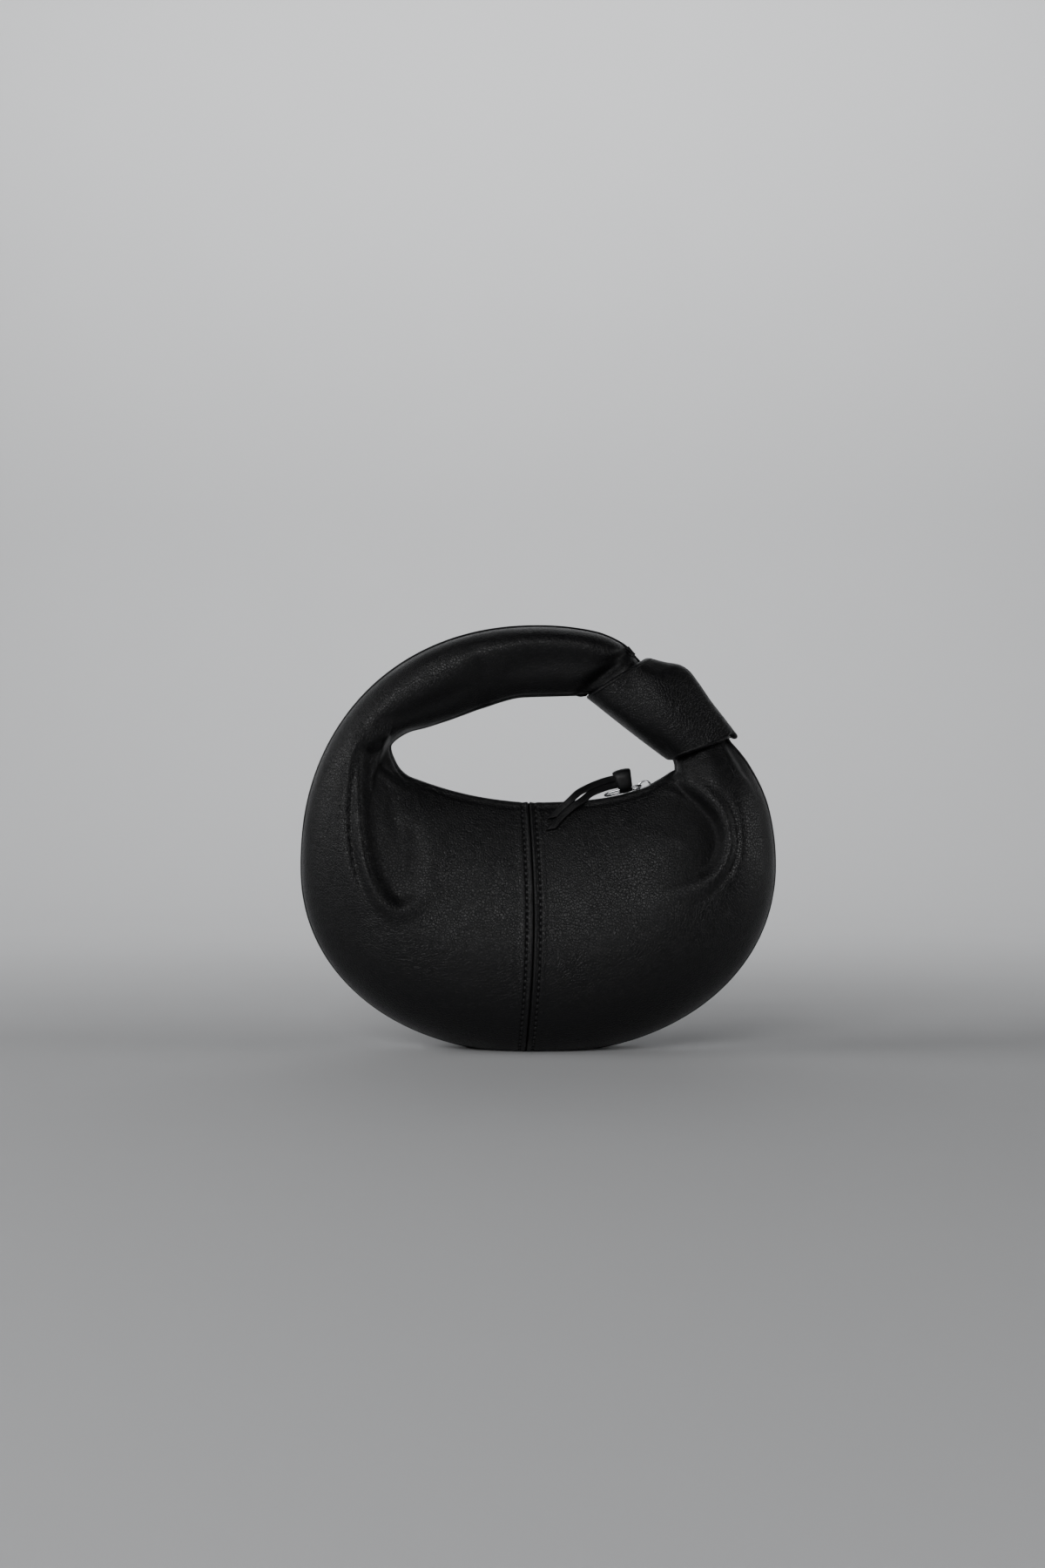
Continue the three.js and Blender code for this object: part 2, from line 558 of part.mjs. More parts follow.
// The slider in its own frame: X along the zip, Z up, with its origin on the tape.
function slider() {
  const wide = CHAIN_WIDTH + 2 * (SLIDER_SLACK + SLIDER_WALL);
  const nose = SLIDER_LENGTH / 2;
  const shoulder = nose - wide / 2;
  const plan = new THREE.Shape();
  const tail = (SLIDER_TAIL_SHARE * wide) / 2;
  plan.moveTo(-nose, -tail);
  plan.lineTo(shoulder, -wide / 2);
  plan.absarc(shoulder, 0, wide / 2, -Math.PI / 2, Math.PI / 2, false);
  plan.lineTo(-nose, tail);
  const body = new THREE.ExtrudeGeometry(plan, {
    depth: SLIDER_TOP - FIT_GAP,
    bevelEnabled: false,
    curveSegments: 8,
  });
  body.translate(0, 0, FIT_GAP);
  const channelHigh = 2 * (SLIDER_TOP - SLIDER_WALL);
  const channel = new THREE.BoxGeometry(4 * SLIDER_LENGTH, CHAIN_WIDTH + 2 * SLIDER_SLACK, channelHigh);
  const foot = SLIDER_TOP - SLIDER_WALL / 2;
  const shoulderHigh = SLIDER_TOP + BRIDGE_RISE * BRIDGE_SHOULDER;
  const arch = new THREE.CatmullRomCurve3(
    [
      [-BRIDGE_LENGTH / 2, foot],
      [-BRIDGE_LENGTH / 2, shoulderHigh],
      [0, SLIDER_TOP + BRIDGE_RISE - BRIDGE_WIRE / 2],
      [BRIDGE_LENGTH / 2, shoulderHigh],
      [BRIDGE_LENGTH / 2, foot],
    ].map(([x, z]) => new THREE.Vector3(x, 0, z)),
  );
  const section = new THREE.Shape().absarc(0, 0, BRIDGE_WIRE / 2, 0, 2 * Math.PI, false);
  const bridge = new THREE.ExtrudeGeometry(section, { steps: BRIDGE_STEPS, extrudePath: arch, curveSegments: 4 });
  return geometryOf(solidOf(body).subtract(solidOf(channel)).add(solidOf(bridge)));
}

// The frame of the zip under the slider: a point on the tape and the zip's slope there.
function sliderSeat() {
  const [before, at, after] = [-ZIP_LINE_STEP, 0, ZIP_LINE_STEP].map((step) => zipLineAt(SLIDER_TURN + step));
  return { x: at.x, z: at.z, slope: Math.atan2(after.z - before.z, after.x - before.x) };
}

// The oval link that joins the slider's bridge to the pull: its right end lies under the bridge, by its left leg.
function linkPlace() {
  const seat = sliderSeat();
  const up = SLIDER_TOP + (BRIDGE_RISE - BRIDGE_WIRE) / 2;
  const left = BRIDGE_LENGTH / 2 - (BRIDGE_WIRE + RING_WIRE) / 2 - FIT_GAP;
  const [cos, sin] = [Math.cos(seat.slope), Math.sin(seat.slope)];
  const hook = new THREE.Vector3(seat.x - left * cos - up * sin, 0, seat.z - left * sin + up * cos);
  const slope = THREE.MathUtils.degToRad(BAND.slope);
  const along = new THREE.Vector3(Math.cos(slope), 0, Math.sin(slope));
  const lean = THREE.MathUtils.degToRad(RING_LEAN);
  const across = new THREE.Vector3(-Math.sin(lean) * along.z, -Math.cos(lean), Math.sin(lean) * along.x);
  return { centre: hook.addScaledVector(along, -(RING_LENGTH - RING_WIRE) / 2), along, across };
}

function link(wire) {
  const { centre, along, across } = linkPlace();
  const half = (RING_LENGTH - RING_WIRE) / 2;
  const round = (RING_WIDTH - RING_WIRE) / 2;
  const points = [];
  for (let i = 0; i < LINK_POINTS; i += 1) {
    const angle = (2 * Math.PI * (i + 0.5)) / LINK_POINTS;
    const straight = Math.sign(Math.cos(angle)) * (half - round);
    const [a, b] = [straight + round * Math.cos(angle), round * Math.sin(angle)];
    points.push(centre.clone().addScaledVector(along, a).addScaledVector(across, b));
  }
  const normal = along.clone().cross(across);
  const rings = points.map((point, i) => {
    const next = points[(i + 1) % LINK_POINTS];
    const last = points[(i + LINK_POINTS - 1) % LINK_POINTS];
    const side = next.clone().sub(last).normalize().cross(normal);
    return Array.from({ length: LINK_SIDES }, (_, k) => {
      const angle = (2 * Math.PI * k) / LINK_SIDES;
      const [c, d] = [(Math.cos(angle) * wire) / 2, (Math.sin(angle) * wire) / 2];
      return point.clone().addScaledVector(side, c).addScaledVector(normal, d);
    });
  });
  return torus(rings);
}

// A closed mesh from rings of points whose last ring joins the first.
function torus(rings) {
  const sides = rings[0].length;
  const positions = rings.flat().flatMap((p) => [p.x, p.y, p.z]);
  const faces = [];
  for (let i = 0; i < rings.length; i += 1) {
    const next = ((i + 1) % rings.length) * sides;
    for (let j = 0; j < sides; j += 1) {
      const k = (j + 1) % sides;
      faces.push(i * sides + j, i * sides + k, next + k, i * sides + j, next + k, next + j);
    }
  }
  const geometry = new THREE.BufferGeometry();
  geometry.setAttribute("position", new THREE.Float32BufferAttribute(positions, 3));
  geometry.setIndex(faces);
  return facingOut(geometry);
}

// The leather pull's two tails hang from the band over the mouth's front edge. Each row is a point on the tails'
// middle line: first from the band's middle by x, y and z, with how far the tail has turned to face up there, and
// then on the front panel by its turn and way.
const TAIL_SIDEWAYS = 0.1;
const TAIL_FREE = [
  { x: 0, y: 0, z: 0.3, facingUp: 0 },
  { x: -5.2, y: -0.6, z: -0.5, facingUp: 0.12 },
  { x: -11.6, y: -2.9, z: -2.2, facingUp: 0.24 },
  { x: -19.4, y: -7, z: -5.4, facingUp: 0.36 },
  { x: -26.4, y: -11.8, z: -10.4, facingUp: 0.48 },
];
const TAIL_LAID = [
  { turn: 280.8, way: 0.948 },
  { turn: 273.6, way: 0.9 },
];

function tails() {
  const clear = PULL_CLEAR + PULL_THICK / 2;
  const points = TAIL_FREE.map((p) => bandMiddle().add(new THREE.Vector3(p.x, p.y, p.z)));
  const normals = TAIL_FREE.map((p) => new THREE.Vector3(TAIL_SIDEWAYS, -1, p.facingUp).normalize());
  for (const { turn, way } of TAIL_LAID) {
    const normal = leatherNormalAt(turn, way, -1);
    points.push(leatherAt(turn, way, -1).addScaledVector(normal, clear));
    normals.push(normal);
  }
  return [-1, 1].map((side) => {
    const shift = (side * (PULL_WIDTH + PULL_SLIT)) / 2;
    return strip(points, normals, shift, side < 0 ? TAIL_STEPS : TAIL_STEPS - 1);
  });
}

// A strip of leather beside a smooth line, lying flat on the plane whose normal is given at each point. It stops
// after a number of steps, and its last end is cut on the slant.
function strip(points, normals, shift, steps) {
  const line = new THREE.CatmullRomCurve3(points);
  const facing = new THREE.CatmullRomCurve3(normals);
  const rings = [];
  for (let i = 0; i <= steps; i += 1) {
    const t = i / TAIL_STEPS;
    const centre = line.getPoint(t);
    const along = line.getTangent(t);
    const across = along.clone().cross(facing.getPoint(t)).normalize();
    const out = across.clone().cross(along).normalize();
    const cut = i === steps ? PULL_POINT : 0;
    const corner = (a, b) =>
      centre
        .clone()
        .addScaledVector(across, shift + (a * PULL_WIDTH) / 2)
        .addScaledVector(out, (b * PULL_THICK) / 2)
        .addScaledVector(along, (-cut * (1 - a)) / 2);
    const round = [[-1, -0.5], [-0.75, -1], [0.75, -1], [1, -0.5], [1, 0.5], [0.75, 1], [-0.75, 1], [-1, 0.5]];
    rings.push(round.map(([a, b]) => corner(a, b)));
  }
  return loft(rings);
}

// The middle of the band, which is placed on the link.
function bandMiddle() {
  const { centre, along } = linkPlace();
  const up = new THREE.Vector3(-along.z, 0, along.x);
  return centre.addScaledVector(along, BAND_ON_LINK.along).addScaledVector(up, BAND_ON_LINK.up).setY(BAND_ON_LINK.y);
}

// The band is the pull's doubled end, drawn through the link and round the tails.
function band() {
  const slope = THREE.MathUtils.degToRad(BAND.slope);
  const along = new THREE.Vector3(Math.cos(slope), 0, Math.sin(slope));
  const up = new THREE.Vector3(-Math.sin(slope), 0, Math.cos(slope));
  const rings = BAND_STATIONS.map(([place, size]) => {
    const centre = bandMiddle().addScaledVector(along, (place * BAND.length) / 2);
    return Array.from({ length: BAND_SIDES }, (_, k) => {
      const angle = (2 * Math.PI * k) / BAND_SIDES;
      const round = (v) => Math.sign(v) * Math.abs(v) ** BAND.squareness;
      const point = centre.clone().addScaledVector(up, (round(Math.cos(angle)) * BAND.height * size) / 2);
      return point.add(new THREE.Vector3(0, (round(Math.sin(angle)) * BAND.depth * size) / 2, 0));
    });
  });
  return loft(rings);
}

function pullLace() {
  let lace = solidOf(band());
  for (const tail of tails()) lace = lace.add(solidOf(tail));
  const shells = lace.subtract(solidOf(link(RING_WIRE + 2 * FIT_GAP))).decompose();
  return geometryOf(shells.reduce((most, shell) => (shell.volume() > most.volume() ? shell : most)));
}

// The knot's wrap: a sleeve round the strap, full in the middle and rolled at both edges, whose soft folds wind
// slowly round it. place runs from 0 at the entry to 1 at the exit, shrink draws the section in, and folded is the
// share of the folds' depth there.
function knotRing(place, shrink, folded) {
  const [a, b] = [KNOT_ENTRY, KNOT_EXIT];
  const angle = THREE.MathUtils.degToRad(THREE.MathUtils.lerp(a.lateral, b.lateral, place));
  const lateral = new THREE.Vector3(Math.cos(angle), 0, Math.sin(angle));
  const middle = Math.sin(Math.PI * THREE.MathUtils.clamp(place, 0, 1));
  const x = (THREE.MathUtils.lerp(a.x, b.x, place) * BAG_WIDTH) / 2;
  const z = THREE.MathUtils.lerp(a.z, b.z, place) * BAG_HEIGHT;
  const centre = new THREE.Vector3(x, 0, z).addScaledVector(lateral, KNOT_BOW * middle);
  const half = (KNOT_WIDTH + KNOT_BELLY * middle) / 2 - shrink;
  const thick = (KNOT_DEPTH + KNOT_BELLY_DEPTH * middle) / 2 - shrink;
  const start = THREE.MathUtils.degToRad(THREE.MathUtils.lerp(KNOT_LOBE_FROM, KNOT_LOBE_TO, place));
  return Array.from({ length: KNOT_SIDES }, (_, k) => {
    const turn = (2 * Math.PI * k) / KNOT_SIDES;
    const lobe = Math.abs(Math.sin(((turn - start) * KNOT_LOBES) / 2)) ** KNOT_PUFF_POWER - 1;
    const puff = folded * KNOT_PUFF * lobe;
    const [u, v] = [(half + puff) * Math.cos(turn), -(thick + puff) * Math.sin(turn)];
    return centre.clone().addScaledVector(lateral, u).setY(v);
  });
}

function knotWrap() {
  const outer = KNOT_STATIONS.map(([place, shrink, folded]) => knotRing(place, shrink, folded));
  const inner = KNOT_HOLLOW.map((place) => knotRing(place, KNOT_WALL, 0));
  return geometryOf(solidOf(loft(outer)).subtract(solidOf(loft(inner))));
}

const [front, back] = [-1, 1];
const bag = new THREE.Group();
bag.name = "knotted_bowl_bag";
bag.add(
  piece("front_panel_left", panel(KNOT_TURN, SEAM_TURN, front, FRONT_GRID.left, FRONT_GRID.across), "leather"),
  piece("front_panel_right", panel(SEAM_TURN, KNOT_END, front, FRONT_GRID.right, FRONT_GRID.across), "leather"),
  piece("back_panel_left", panel(KNOT_TURN, SEAM_TURN, back, BACK_GRID.left, BACK_GRID.across), "leather"),
  piece("back_panel_right", panel(SEAM_TURN, KNOT_END, back, BACK_GRID.right, BACK_GRID.across), "leather"),
  piece("seam_edging", edging(KNOT_TURN + EDGING_CLEAR, KNOT_END - EDGING_CLEAR), "edging"),
  piece("knot_wrap", knotWrap(), "leather"),
  piece("zip_tape", zipTape(), "zipTape"),
  piece("zip_chain", zipChain(), "metal"),
);

const seat = sliderSeat();
const sliderBody = slider();
sliderBody.rotateY(-seat.slope);
sliderBody.translate(seat.x, 0, seat.z);
bag.add(
  piece("zip_slider", sliderBody, "metal"),
  piece("pull_link", link(RING_WIRE), "metal"),
  piece("pull_lace", pullLace(), "leather"),
);

export default bag;
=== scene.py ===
"""A small black leather bowl bag with a knotted top handle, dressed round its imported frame.

The body and its handle are one ring of leather. Sizes are in millimetres, with +Z up and the front facing -Y, and
each finished mesh is in metres. A place on the leather is a turn, in degrees round the ring from +X, and a way,
from 0 at the edging on the outline to 1 at the loop.
"""
import sys
import logging
import math
from dataclasses import dataclass
from enum import Enum

import bpy
import numpy as np
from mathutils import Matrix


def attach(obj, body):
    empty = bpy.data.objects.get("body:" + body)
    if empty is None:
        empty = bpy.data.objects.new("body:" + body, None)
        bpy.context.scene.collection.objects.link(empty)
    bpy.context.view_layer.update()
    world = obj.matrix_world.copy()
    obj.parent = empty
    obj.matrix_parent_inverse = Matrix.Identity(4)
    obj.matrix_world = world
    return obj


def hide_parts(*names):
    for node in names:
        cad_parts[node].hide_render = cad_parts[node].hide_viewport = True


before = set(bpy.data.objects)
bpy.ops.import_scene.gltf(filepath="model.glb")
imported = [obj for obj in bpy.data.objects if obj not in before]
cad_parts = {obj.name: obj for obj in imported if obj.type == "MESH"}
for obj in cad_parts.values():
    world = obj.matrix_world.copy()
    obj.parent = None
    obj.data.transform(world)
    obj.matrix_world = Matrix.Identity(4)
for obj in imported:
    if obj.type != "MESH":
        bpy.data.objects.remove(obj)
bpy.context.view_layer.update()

Array = np.ndarray
Point = tuple[float, float, float]
Colour = Point
Rows = tuple[Point, ...]
Span = tuple[float, float]
Socket = bpy.types.NodeSocket
Material = bpy.types.Material
Piece = bpy.types.Object
Inputs = dict[str | int, object]
MM = 0.001
BODY = "root"
BACKWARD = np.array([0.0, 1.0, 0.0])
TOUCHING = 1e-6
log = logging.getLogger("bag")


class Face(Enum):
    """The side of the bag that a panel faces."""

    FRONT = -1
    BACK = 1


class Slot(Enum):
    """The record's material slots."""

    LEATHER = "leather"
    EDGING = "edging"
    TAPE = "zip_tape"
    METAL = "metal"


# Curves and surfaces


def cubic(start: Array, end: Array, leaving: Array, arriving: Array, t: Array) -> Array:
    """Runs a cubic from one value to another.

    Args:
        start: The values where t is 0.
        end: The values where t is 1.
        leaving: The slopes at the start.
        arriving: The slopes at the end.
        t: The places between the two.

    Returns:
        The values at t.
    """
    there, back = t**2, (1 - t) ** 2
    return start * (1 + 2 * t) * back + end * there * (3 - 2 * t) + leaving * t * back - arriving * there * (1 - t)


def spline(points: Array, steps: int) -> Array:
    """Runs a smooth line through points: each span is a cubic whose end slopes are half the step from the point
    before to the point after.

    Args:
        points: Rows of any width that the line passes.
        steps: Short steps in each span.

    Returns:
        The rows of the line, with both ends.
    """
    points = np.asarray(points, float)
    slope = np.gradient(points, axis=0)
    at = np.linspace(0, len(points) - 1, (len(points) - 1) * steps + 1)
    k = np.minimum(at.astype(int), len(points) - 2)
    return cubic(points[k], points[k + 1], slope[k], slope[k + 1], (at - k)[:, None])


def reached(points: Array, axis: int = 0) -> Array:
    """Adds up the lengths of the steps between points.

    Args:
        points: The points, with their x, y and z last.
        axis: The axis that the steps run along.

    Returns:
        The length reached at each point, starting at 0.
    """
    steps = np.linalg.norm(np.diff(points, axis=axis), axis=-1)
    start = np.zeros_like(np.take(steps, [0], axis=axis))
    return np.concatenate([start, np.cumsum(steps, axis=axis)], axis=axis)


def read_at(places: Array, run: Array, rows: Array) -> Array:
    """Reads rows of x, y and z at places along a line, where run is the length reached at each row."""
    return np.stack([np.interp(places, run, rows[:, i]) for i in range(3)], -1)


def unit(vectors: Array) -> Array:
    """Gives vectors a length of 1."""
    return vectors / np.maximum(np.linalg.norm(vectors, axis=-1, keepdims=True), 1e-9)


def onward(line: Array) -> Array:
    """Gives the unit directions along a closed line."""
    return unit(np.roll(line, -1, 0) - np.roll(line, 1, 0))


def powered(value: Array, power: Array | float) -> Array:
    """Raises the size of a value to a power and keeps its sign."""
    return np.sign(value) * np.abs(value) ** power


def circle(count: int) -> Array:
    """Spaces angles evenly round a circle, from 0."""
    return np.linspace(0, 2 * np.pi, count, endpoint=False)


def hump(distance: Array, width: float) -> Array:
    """A bell curve: 1 in its middle and 0.37 at one width from it."""
    return np.exp(-((distance / width) ** 2))


def humps(distance: Array, rows: Rows) -> Array:
    """Adds up bells, from rows of a distance, a height and a width."""
    return sum(height * hump(distance - at, width) for at, height, width in rows)


def spaced(start: float, end: float, count: int, dense: Rows, samples: int = 20) -> Array:
    """Places values from start to end, closer together where they are dense.

    Args:
        start: The first value.
        end: The last value.
        count: How many values.
        dense: Rows of a middle, how many times more values lie there than elsewhere, and a width.
        samples: How many times finer than the values the spacing is added up.

    Returns:
        The values, whose spacing goes with one over 1 plus the bells of the dense rows.
    """
    fine = np.linspace(start, end, samples * count)
    total = np.cumsum(1 + humps(fine, dense))
    return np.interp(np.linspace(total[0], total[-1], count), total, fine)


@dataclass
class Surface:
    """Points in millimetres, the quads that join them, flat end caps and named values at each point."""

    points: Array
    quads: Array
    caps: list[list[int]]
    masks: dict[str, Array]


def surface(grid: Array, ring: bool = False, masks: dict[str, Array] | None = None) -> Surface:
    """Joins a grid of points into a closed surface whose faces point outwards.

    Args:
        grid: Sections by points round each section, so the last point of a section joins its first.
        ring: Whether the last section joins the first; otherwise both end sections are capped.
        masks: Values for each point of the grid, by name.

    Returns:
        The surface, turned over if its enclosed volume came out negative.
    """
    rows, columns = grid.shape[:2]
    index = np.arange(rows * columns).reshape(rows, columns)
    ahead = np.roll(index, -1, axis=0) if ring else index[1:]
    here = index if ring else index[:-1]
    quads = np.stack([here, np.roll(here, -1, 1), np.roll(ahead, -1, 1), ahead], -1).reshape(-1, 4)
    points = grid.reshape(-1, 3)
    a, b, c, d = (points[quads[:, k]] for k in range(4))
    volume = np.einsum("ij,ij->", a, np.cross(b, c) + np.cross(c, d))
    caps = [] if ring else [index[0][::-1].tolist(), index[-1].tolist()]
    for cap in caps:
        rim = points[cap]
        volume += np.einsum("ij,ij->", np.broadcast_to(rim.mean(0), rim.shape), np.cross(rim, np.roll(rim, -1, 0)))
    if volume < 0:
        quads = quads[:, ::-1]
        caps = [cap[::-1] for cap in caps]
    return Surface(points, quads, caps, {key: values.reshape(-1) for key, values in (masks or {}).items()})


def sweep(line: Array, across: Array, out: Array, profile: Array, sizes: Array | None = None) -> Array:
    """Carries a closed profile along a line: each point is the line's plus the profile's two parts of the frame.

    Args:
        line: The points of the line.
        across: The frame's first direction at each point.
        out: The frame's second direction at each point.
        profile: Rows of a part across and a part out, in millimetres.
        sizes: The profile's size at each point, as a share.

    Returns:
        A grid of sections by points round each section.
    """
    share = np.ones(len(line)) if sizes is None else sizes
    part = profile[None, :, :] * share[:, None, None]
    return line[:, None] + part[..., :1] * across[:, None] + part[..., 1:] * out[:, None]


def rounded(width: float, thick: float, power: float, sides: int) -> Array:
    """Draws a rounded oblong: the cosine and sine to a power, times half the width and half the thickness.

    Args:
        width: Its width.
        thick: Its thickness.
        power: The power: 1 is an oval, and less is squarer.
        sides: How many points it has.

    Returns:
        Rows of a part across and a part out.
    """
    angle = circle(sides)
    return powered(np.stack([np.cos(angle), np.sin(angle)], -1), power) * (width / 2, thick / 2)


def build(
    name: str, surfaces: list[Surface], finish: Material, replaced: tuple[str, ...] = ()
) -> Piece:
    """Makes one piece from surfaces, dresses it and ties it to the frame.

    Args:
        name: The piece's name.
        surfaces: The closed surfaces that it is made of.
        finish: Its material.
        replaced: The frame's nodes that it stands for.

    Returns:
        The piece.
    """
    starts = np.cumsum([0] + [len(part.points) for part in surfaces])
    points = np.concatenate([part.points for part in surfaces]) * MM
    quads = np.concatenate([part.quads + start for part, start in zip(surfaces, starts)])
    caps = [[corner + int(start) for corner in cap] for part, start in zip(surfaces, starts) for cap in part.caps]
    mesh = bpy.data.meshes.new(name)
    mesh.from_pydata(points.tolist(), [], quads.tolist() + caps)
    mesh.polygons.foreach_set("use_smooth", [True] * len(quads) + [False] * len(caps))
    for key in surfaces[0].masks:
        values = np.concatenate([part.masks[key] for part in surfaces])
        mesh.attributes.new(key, "FLOAT", "POINT").data.foreach_set("value", values.astype(np.float32))
    mesh.materials.append(finish)
    piece = bpy.data.objects.new(name, mesh)
    bpy.context.scene.collection.objects.link(piece)
    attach(piece, BODY)
    if replaced:
        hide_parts(*replaced)
    log.info("%s: %d faces", name, len(mesh.polygons))
    return piece


# Finishes


@dataclass(frozen=True)
class Relief:
    """A bump: its depth in metres, its waves or cells in a metre, and its strength."""

    depth: float
    scale: float
    strength: float = 0.6


class Tree:
    """Places nodes in a material or group and joins them by the names of their sockets."""

    def __init__(self, tree: bpy.types.NodeTree) -> None:
        """Keeps the tree that the nodes go into."""
        self.tree = tree

    def feed(self, node: bpy.types.Node, inputs: Inputs) -> None:
        """Fills a node's inputs.

        Args:
            node: The node.
            inputs: Values, or sockets of other nodes, for its inputs.
        """
        for key, value in inputs.items():
            if isinstance(value, Socket):
                self.tree.links.new(value, node.inputs[key])
            else:
                node.inputs[key].default_value = value

    def add(self, kind: str, inputs: Inputs | None = None, **settings: object) -> bpy.types.Node:
        """Adds a node.

        Args:
            kind: The node's type, without its leading ShaderNode.
            inputs: Values, or sockets of other nodes, for its inputs.
            settings: Values for its own properties.

        Returns:
            The node.
        """
        node = self.tree.nodes.new(kind if kind.startswith("Node") else "ShaderNode" + kind)
        for key, value in settings.items():
            setattr(node, key, value)
        self.feed(node, inputs or {})
        return node

    def math(self, operation: str, *values: object) -> Socket:
        """Works out one value from up to three values or sockets."""
        return self.add("Math", dict(enumerate(values)), operation=operation).outputs[0]

    def ranged(self, value: Socket, *limits: float) -> Socket:
        """Maps a value from one range to another: from low, from high, to low and to high."""
        return self.add("MapRange", dict(enumerate((value, *limits))), clamp=True).outputs[0]

    def mix(self, share: Socket, first: Colour, second: Colour) -> Socket:
        """Mixes two colours, from the first at 0 to the second at 1."""
        return self.add("Mix", {0: share, 6: (*first, 1), 7: (*second, 1)}, data_type="RGBA").outputs[2]

    def attribute(self, name: str) -> Socket:
        """Reads a value that the mesh holds at each point."""
        return self.add("Attribute", attribute_name=name).outputs["Fac"]

    def bump(self, height: Socket, relief: Relief, below: Socket | None = None) -> Socket:
        """Adds a bump.

        Args:
            height: The height, from 0 to 1.
            relief: Its depth and strength.
            below: The normal of the bump that it lies on, where there is one.

        Returns:
            The normal.
        """
        inputs: Inputs = {"Height": height, "Strength": relief.strength, "Distance": relief.depth}
        if below:
            inputs["Normal"] = below
        return self.add("Bump", inputs).outputs[0]


def new_group(name: str, inputs: dict[str, float | None], outputs: tuple[str, ...]) -> bpy.types.NodeTree:
    """Makes an empty shader group.

    Args:
        name: The group's name.
        inputs: The default of each input, or None where the input is a vector.
        outputs: The names of its values.

    Returns:
        The group, with its sockets and no nodes yet.
    """
    group = bpy.data.node_groups.new(name, "ShaderNodeTree")
    for key, default in inputs.items():
        kind = "NodeSocketVector" if default is None else "NodeSocketFloat"
        socket = group.interface.new_socket(key, in_out="INPUT", socket_type=kind)
        if default is not None:
            socket.default_value = default
    for key in outputs:
        group.interface.new_socket(key, in_out="OUTPUT", socket_type="NodeSocketFloat")
    return group


def grain_group() -> bpy.types.NodeTree:
    """Builds the pebbled grain of leather: cells parted by narrow furrows, with fine pores on them.

    Returns:
        The group. Height is the grain's relief, and Furrow is 1 in the furrows.
    """
    warp_scale, warp = 260.0, 0.0016
    furrow_wide = 0.16
    smaller, smaller_share = 2.3, -0.45
    pore_scale, pore_share = 3600.0, 0.3
    group = new_group("leather_grain", {"Vector": None, "Cell": 800.0}, ("Height", "Furrow"))
    tree = Tree(group)
    given = tree.add("NodeGroupInput").outputs
    noise = tree.add("TexNoise", {"Vector": given["Vector"], "Scale": warp_scale, "Detail": 2.0})
    spread = tree.add("VectorMath", {0: noise.outputs["Color"], "Scale": warp}, operation="SCALE")
    moved = tree.add("VectorMath", {0: given["Vector"], 1: spread.outputs[0]}, operation="ADD").outputs[0]
    cells = tree.add("TexVoronoi", {"Vector": moved, "Scale": given["Cell"]}, feature="DISTANCE_TO_EDGE")
    plateau = tree.ranged(cells.outputs["Distance"], 0.0, furrow_wide, 0.0, 1.0)
    small = tree.add("TexVoronoi", {"Vector": moved, "Scale": tree.math("MULTIPLY", given["Cell"], smaller)})
    pores = tree.add("TexNoise", {"Vector": given["Vector"], "Scale": pore_scale, "Detail": 2.0})
    relief = tree.math("MULTIPLY_ADD", small.outputs["Distance"], smaller_share, plateau)
    relief = tree.math("MULTIPLY_ADD", pores.outputs[0], pore_share, relief)
    tree.add("NodeGroupOutput", {"Height": relief, "Furrow": tree.math("SUBTRACT", 1.0, plateau)})
    return group


def mottle_group() -> bpy.types.NodeTree:
    """Builds a soft uneven value between two limits, for wear and handling marks.

    Returns:
        The group. Value runs from Low to High over patches of the size that Scale gives.
    """
    noise_low, noise_high = 0.3, 0.7
    group = new_group("soft_mottle", {"Vector": None, "Scale": 30.0, "Low": 0.4, "High": 0.6}, ("Value",))
    tree = Tree(group)
    given = tree.add("NodeGroupInput").outputs
    noise = tree.add("TexNoise", {"Vector": given["Vector"], "Scale": given["Scale"], "Detail": 4.0})
    share = tree.ranged(noise.outputs[0], noise_low, noise_high, 0.0, 1.0)
    span = tree.math("SUBTRACT", given["High"], given["Low"])
    tree.add("NodeGroupOutput", {"Value": tree.math("MULTIPLY_ADD", share, span, given["Low"])})
    return group


GRAIN = grain_group()
MOTTLE = mottle_group()


def mottled(tree: Tree, place: Socket, scale: float, limits: Span) -> Socket:
    """Adds the soft mottle to a material, at a scale and between two limits."""
    inputs: Inputs = {"Vector": place, "Scale": scale, "Low": limits[0], "High": limits[1]}
    return tree.add("Group", inputs, node_tree=MOTTLE).outputs["Value"]


@dataclass(frozen=True)
class Finish:
    """What every finish has: the name of its material, and the way that it is built."""

    name: str

    def material(self) -> Material:
        """Builds the material from the look that the finish gives its shader.

        Returns:
            The material.
        """
        material = bpy.data.materials.new(self.name)
        material.use_nodes = True
        tree = Tree(material.node_tree)
        place = tree.add("TexCoord").outputs["Object"]
        tree.feed(material.node_tree.nodes["Principled BSDF"], self.look(tree, place))
        return material

    def look(self, tree: Tree, place: Socket) -> Inputs:
        """Gives the shader's inputs. Each finish has its own."""
        raise NotImplementedError


